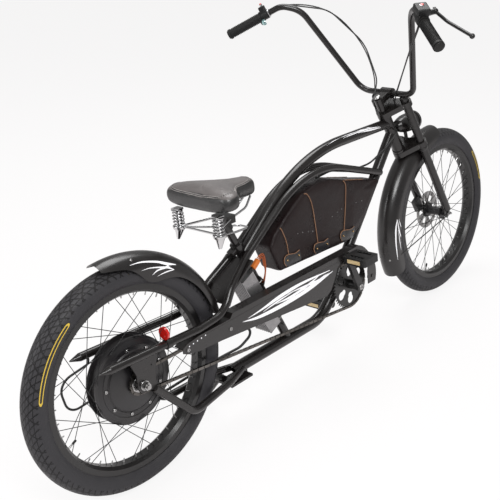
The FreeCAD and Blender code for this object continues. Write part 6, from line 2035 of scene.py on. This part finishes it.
@dataclass(kw_only=True)
class Wiring(Trim):
    """The plug, the leads and the ties round the motor controller."""

    seat_foot: Vector = field(default_factory=lambda: Vector((692.0, 0.0, 178.0)))
    seat_angle: float = 64.8

    def build(self) -> None:
        """Makes the leads, the plug and the ties."""
        palette = self.palette
        tilt = Matrix.Rotation(math.radians(-35.0), 4, "Y")
        place = Matrix.Translation(PARKED.spot(548.0, -22.0, 520.0)) @ PARKED.lean() @ tilt
        self.dress("orange_connector", palette.orange, self.shop.block((34.0, 13.0, 18.0), place, 2.0))
        bright = [
            self.lead([
                (x, -20.0 + 3.0 * index, z), (x + 24.0, -24.0 + 5.0 * index, z + 16.0),
                (598.0, -20.0 + 6.0 * index, 520.0 - 8.0 * index), (600.0, -16.0, 470.0),
                (586.0, -14.0 + 4.0 * index, 432.0),
            ], 1.8, 1)
            for index, (x, z) in enumerate(((560.0, 536.0), (566.0, 528.0), (570.0, 518.0)))
        ]
        self.dress("controller_leads", palette.orange_lead, *bright, smooth=60.0)
        black = [
            self.lead([
                (530.0 - 8.0 * index, -18.0 + 8.0 * index, 508.0), (556.0, -26.0 + 10.0 * index, 470.0),
                (590.0, -20.0 + 9.0 * index, 440.0), (574.0, -12.0 + 8.0 * index, 418.0),
            ], 2.4, 1)
            for index in range(3)
        ]
        self.dress("controller_black_leads", palette.cable, *black, smooth=60.0)
        tilt_up = math.radians(self.seat_angle)
        up = Vector((-math.cos(tilt_up), 0.0, math.sin(tilt_up)))
        for reach, word in ((118.0, "low"), (300.0, "high")):
            band = self.hoop(20.6, 1.3, self.seat_foot + up * reach, up, 40, 6)
            self.dress(f"seat_tube_tie_{word}", palette.white_plastic, band)


@dataclass(kw_only=True)
class LampTrim(Trim):
    """The headlight's ring and screw, and the rear reflector's rim."""

    lamp_down: float = 127.2
    lamp_ahead: float = 87.4

    def build(self) -> None:
        """Makes the trim."""
        palette = self.palette
        centre = on_head(self.lamp_down, self.lamp_ahead)
        ring = self.hoop(36.6, 1.9, centre + Vector((62.0, 0.0, 0.0)), Vector((1.0, 0.0, 0.0)), 56, 10)
        self.dress("headlight_ring", palette.chrome, ring, body="steering")
        screw = self.screw(3.4, 2.4, centre + Vector((40.0, 0.0, -36.0)), -UP)
        self.dress("headlight_screw", palette.steel, screw, body="steering")
        low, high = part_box("reflector")
        radius = (high.z - low.z) / 2.0 * 1000.0 - 0.8
        right = PARKED.way(*Side.RIGHT.out)
        rim = self.shop.ring(radius, 1.0, 44, 8, (low + high) / 2.0 + right * 0.003, right)
        self.dress("reflector_rim", palette.plastic, rim)


def plain_box(box: tuple[Vector, Vector]) -> list[list[float]]:
    """A box as plain lists of numbers."""
    return [[float(part) for part in corner] for corner in box]


def main() -> list[list[float]]:
    """Builds the scene.

    Returns:
        The CAD model's own box.
    """
    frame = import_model()
    cad_box = plain_box(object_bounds())
    nodes = frame["nodes"]
    SharedEffects().build()
    palette = Palette()
    palette.dress_nodes(nodes)
    log.info("dressed %d nodes", len(nodes))
    WheelTrim(
        palette=palette, which="rear", hub=REAR_HUB, label_start=124.0, label_end=166.0, valve_turn=205.0,
        body="rear_wheel",
    ).build()
    WheelTrim(
        palette=palette, which="front", hub=FRONT_HUB, label_start=11.0, label_end=40.0, valve_turn=250.0,
        body="front_wheel",
    ).build()
    MotorTrim(palette=palette).build()
    SaddleCover(palette=palette).build(nodes["saddle"])
    SaddleSprings(palette=palette).build()
    BatteryBag(palette=palette).build(nodes["battery_bag"])
    Decals(palette=palette).build(nodes)
    for trim in (Fasteners, Cockpit, PedalTrim, Wiring, LampTrim):
        trim(palette=palette).build()
    Studio().build()
    return cad_box


if __name__ == "__main__":
    CAD_BOX = main()
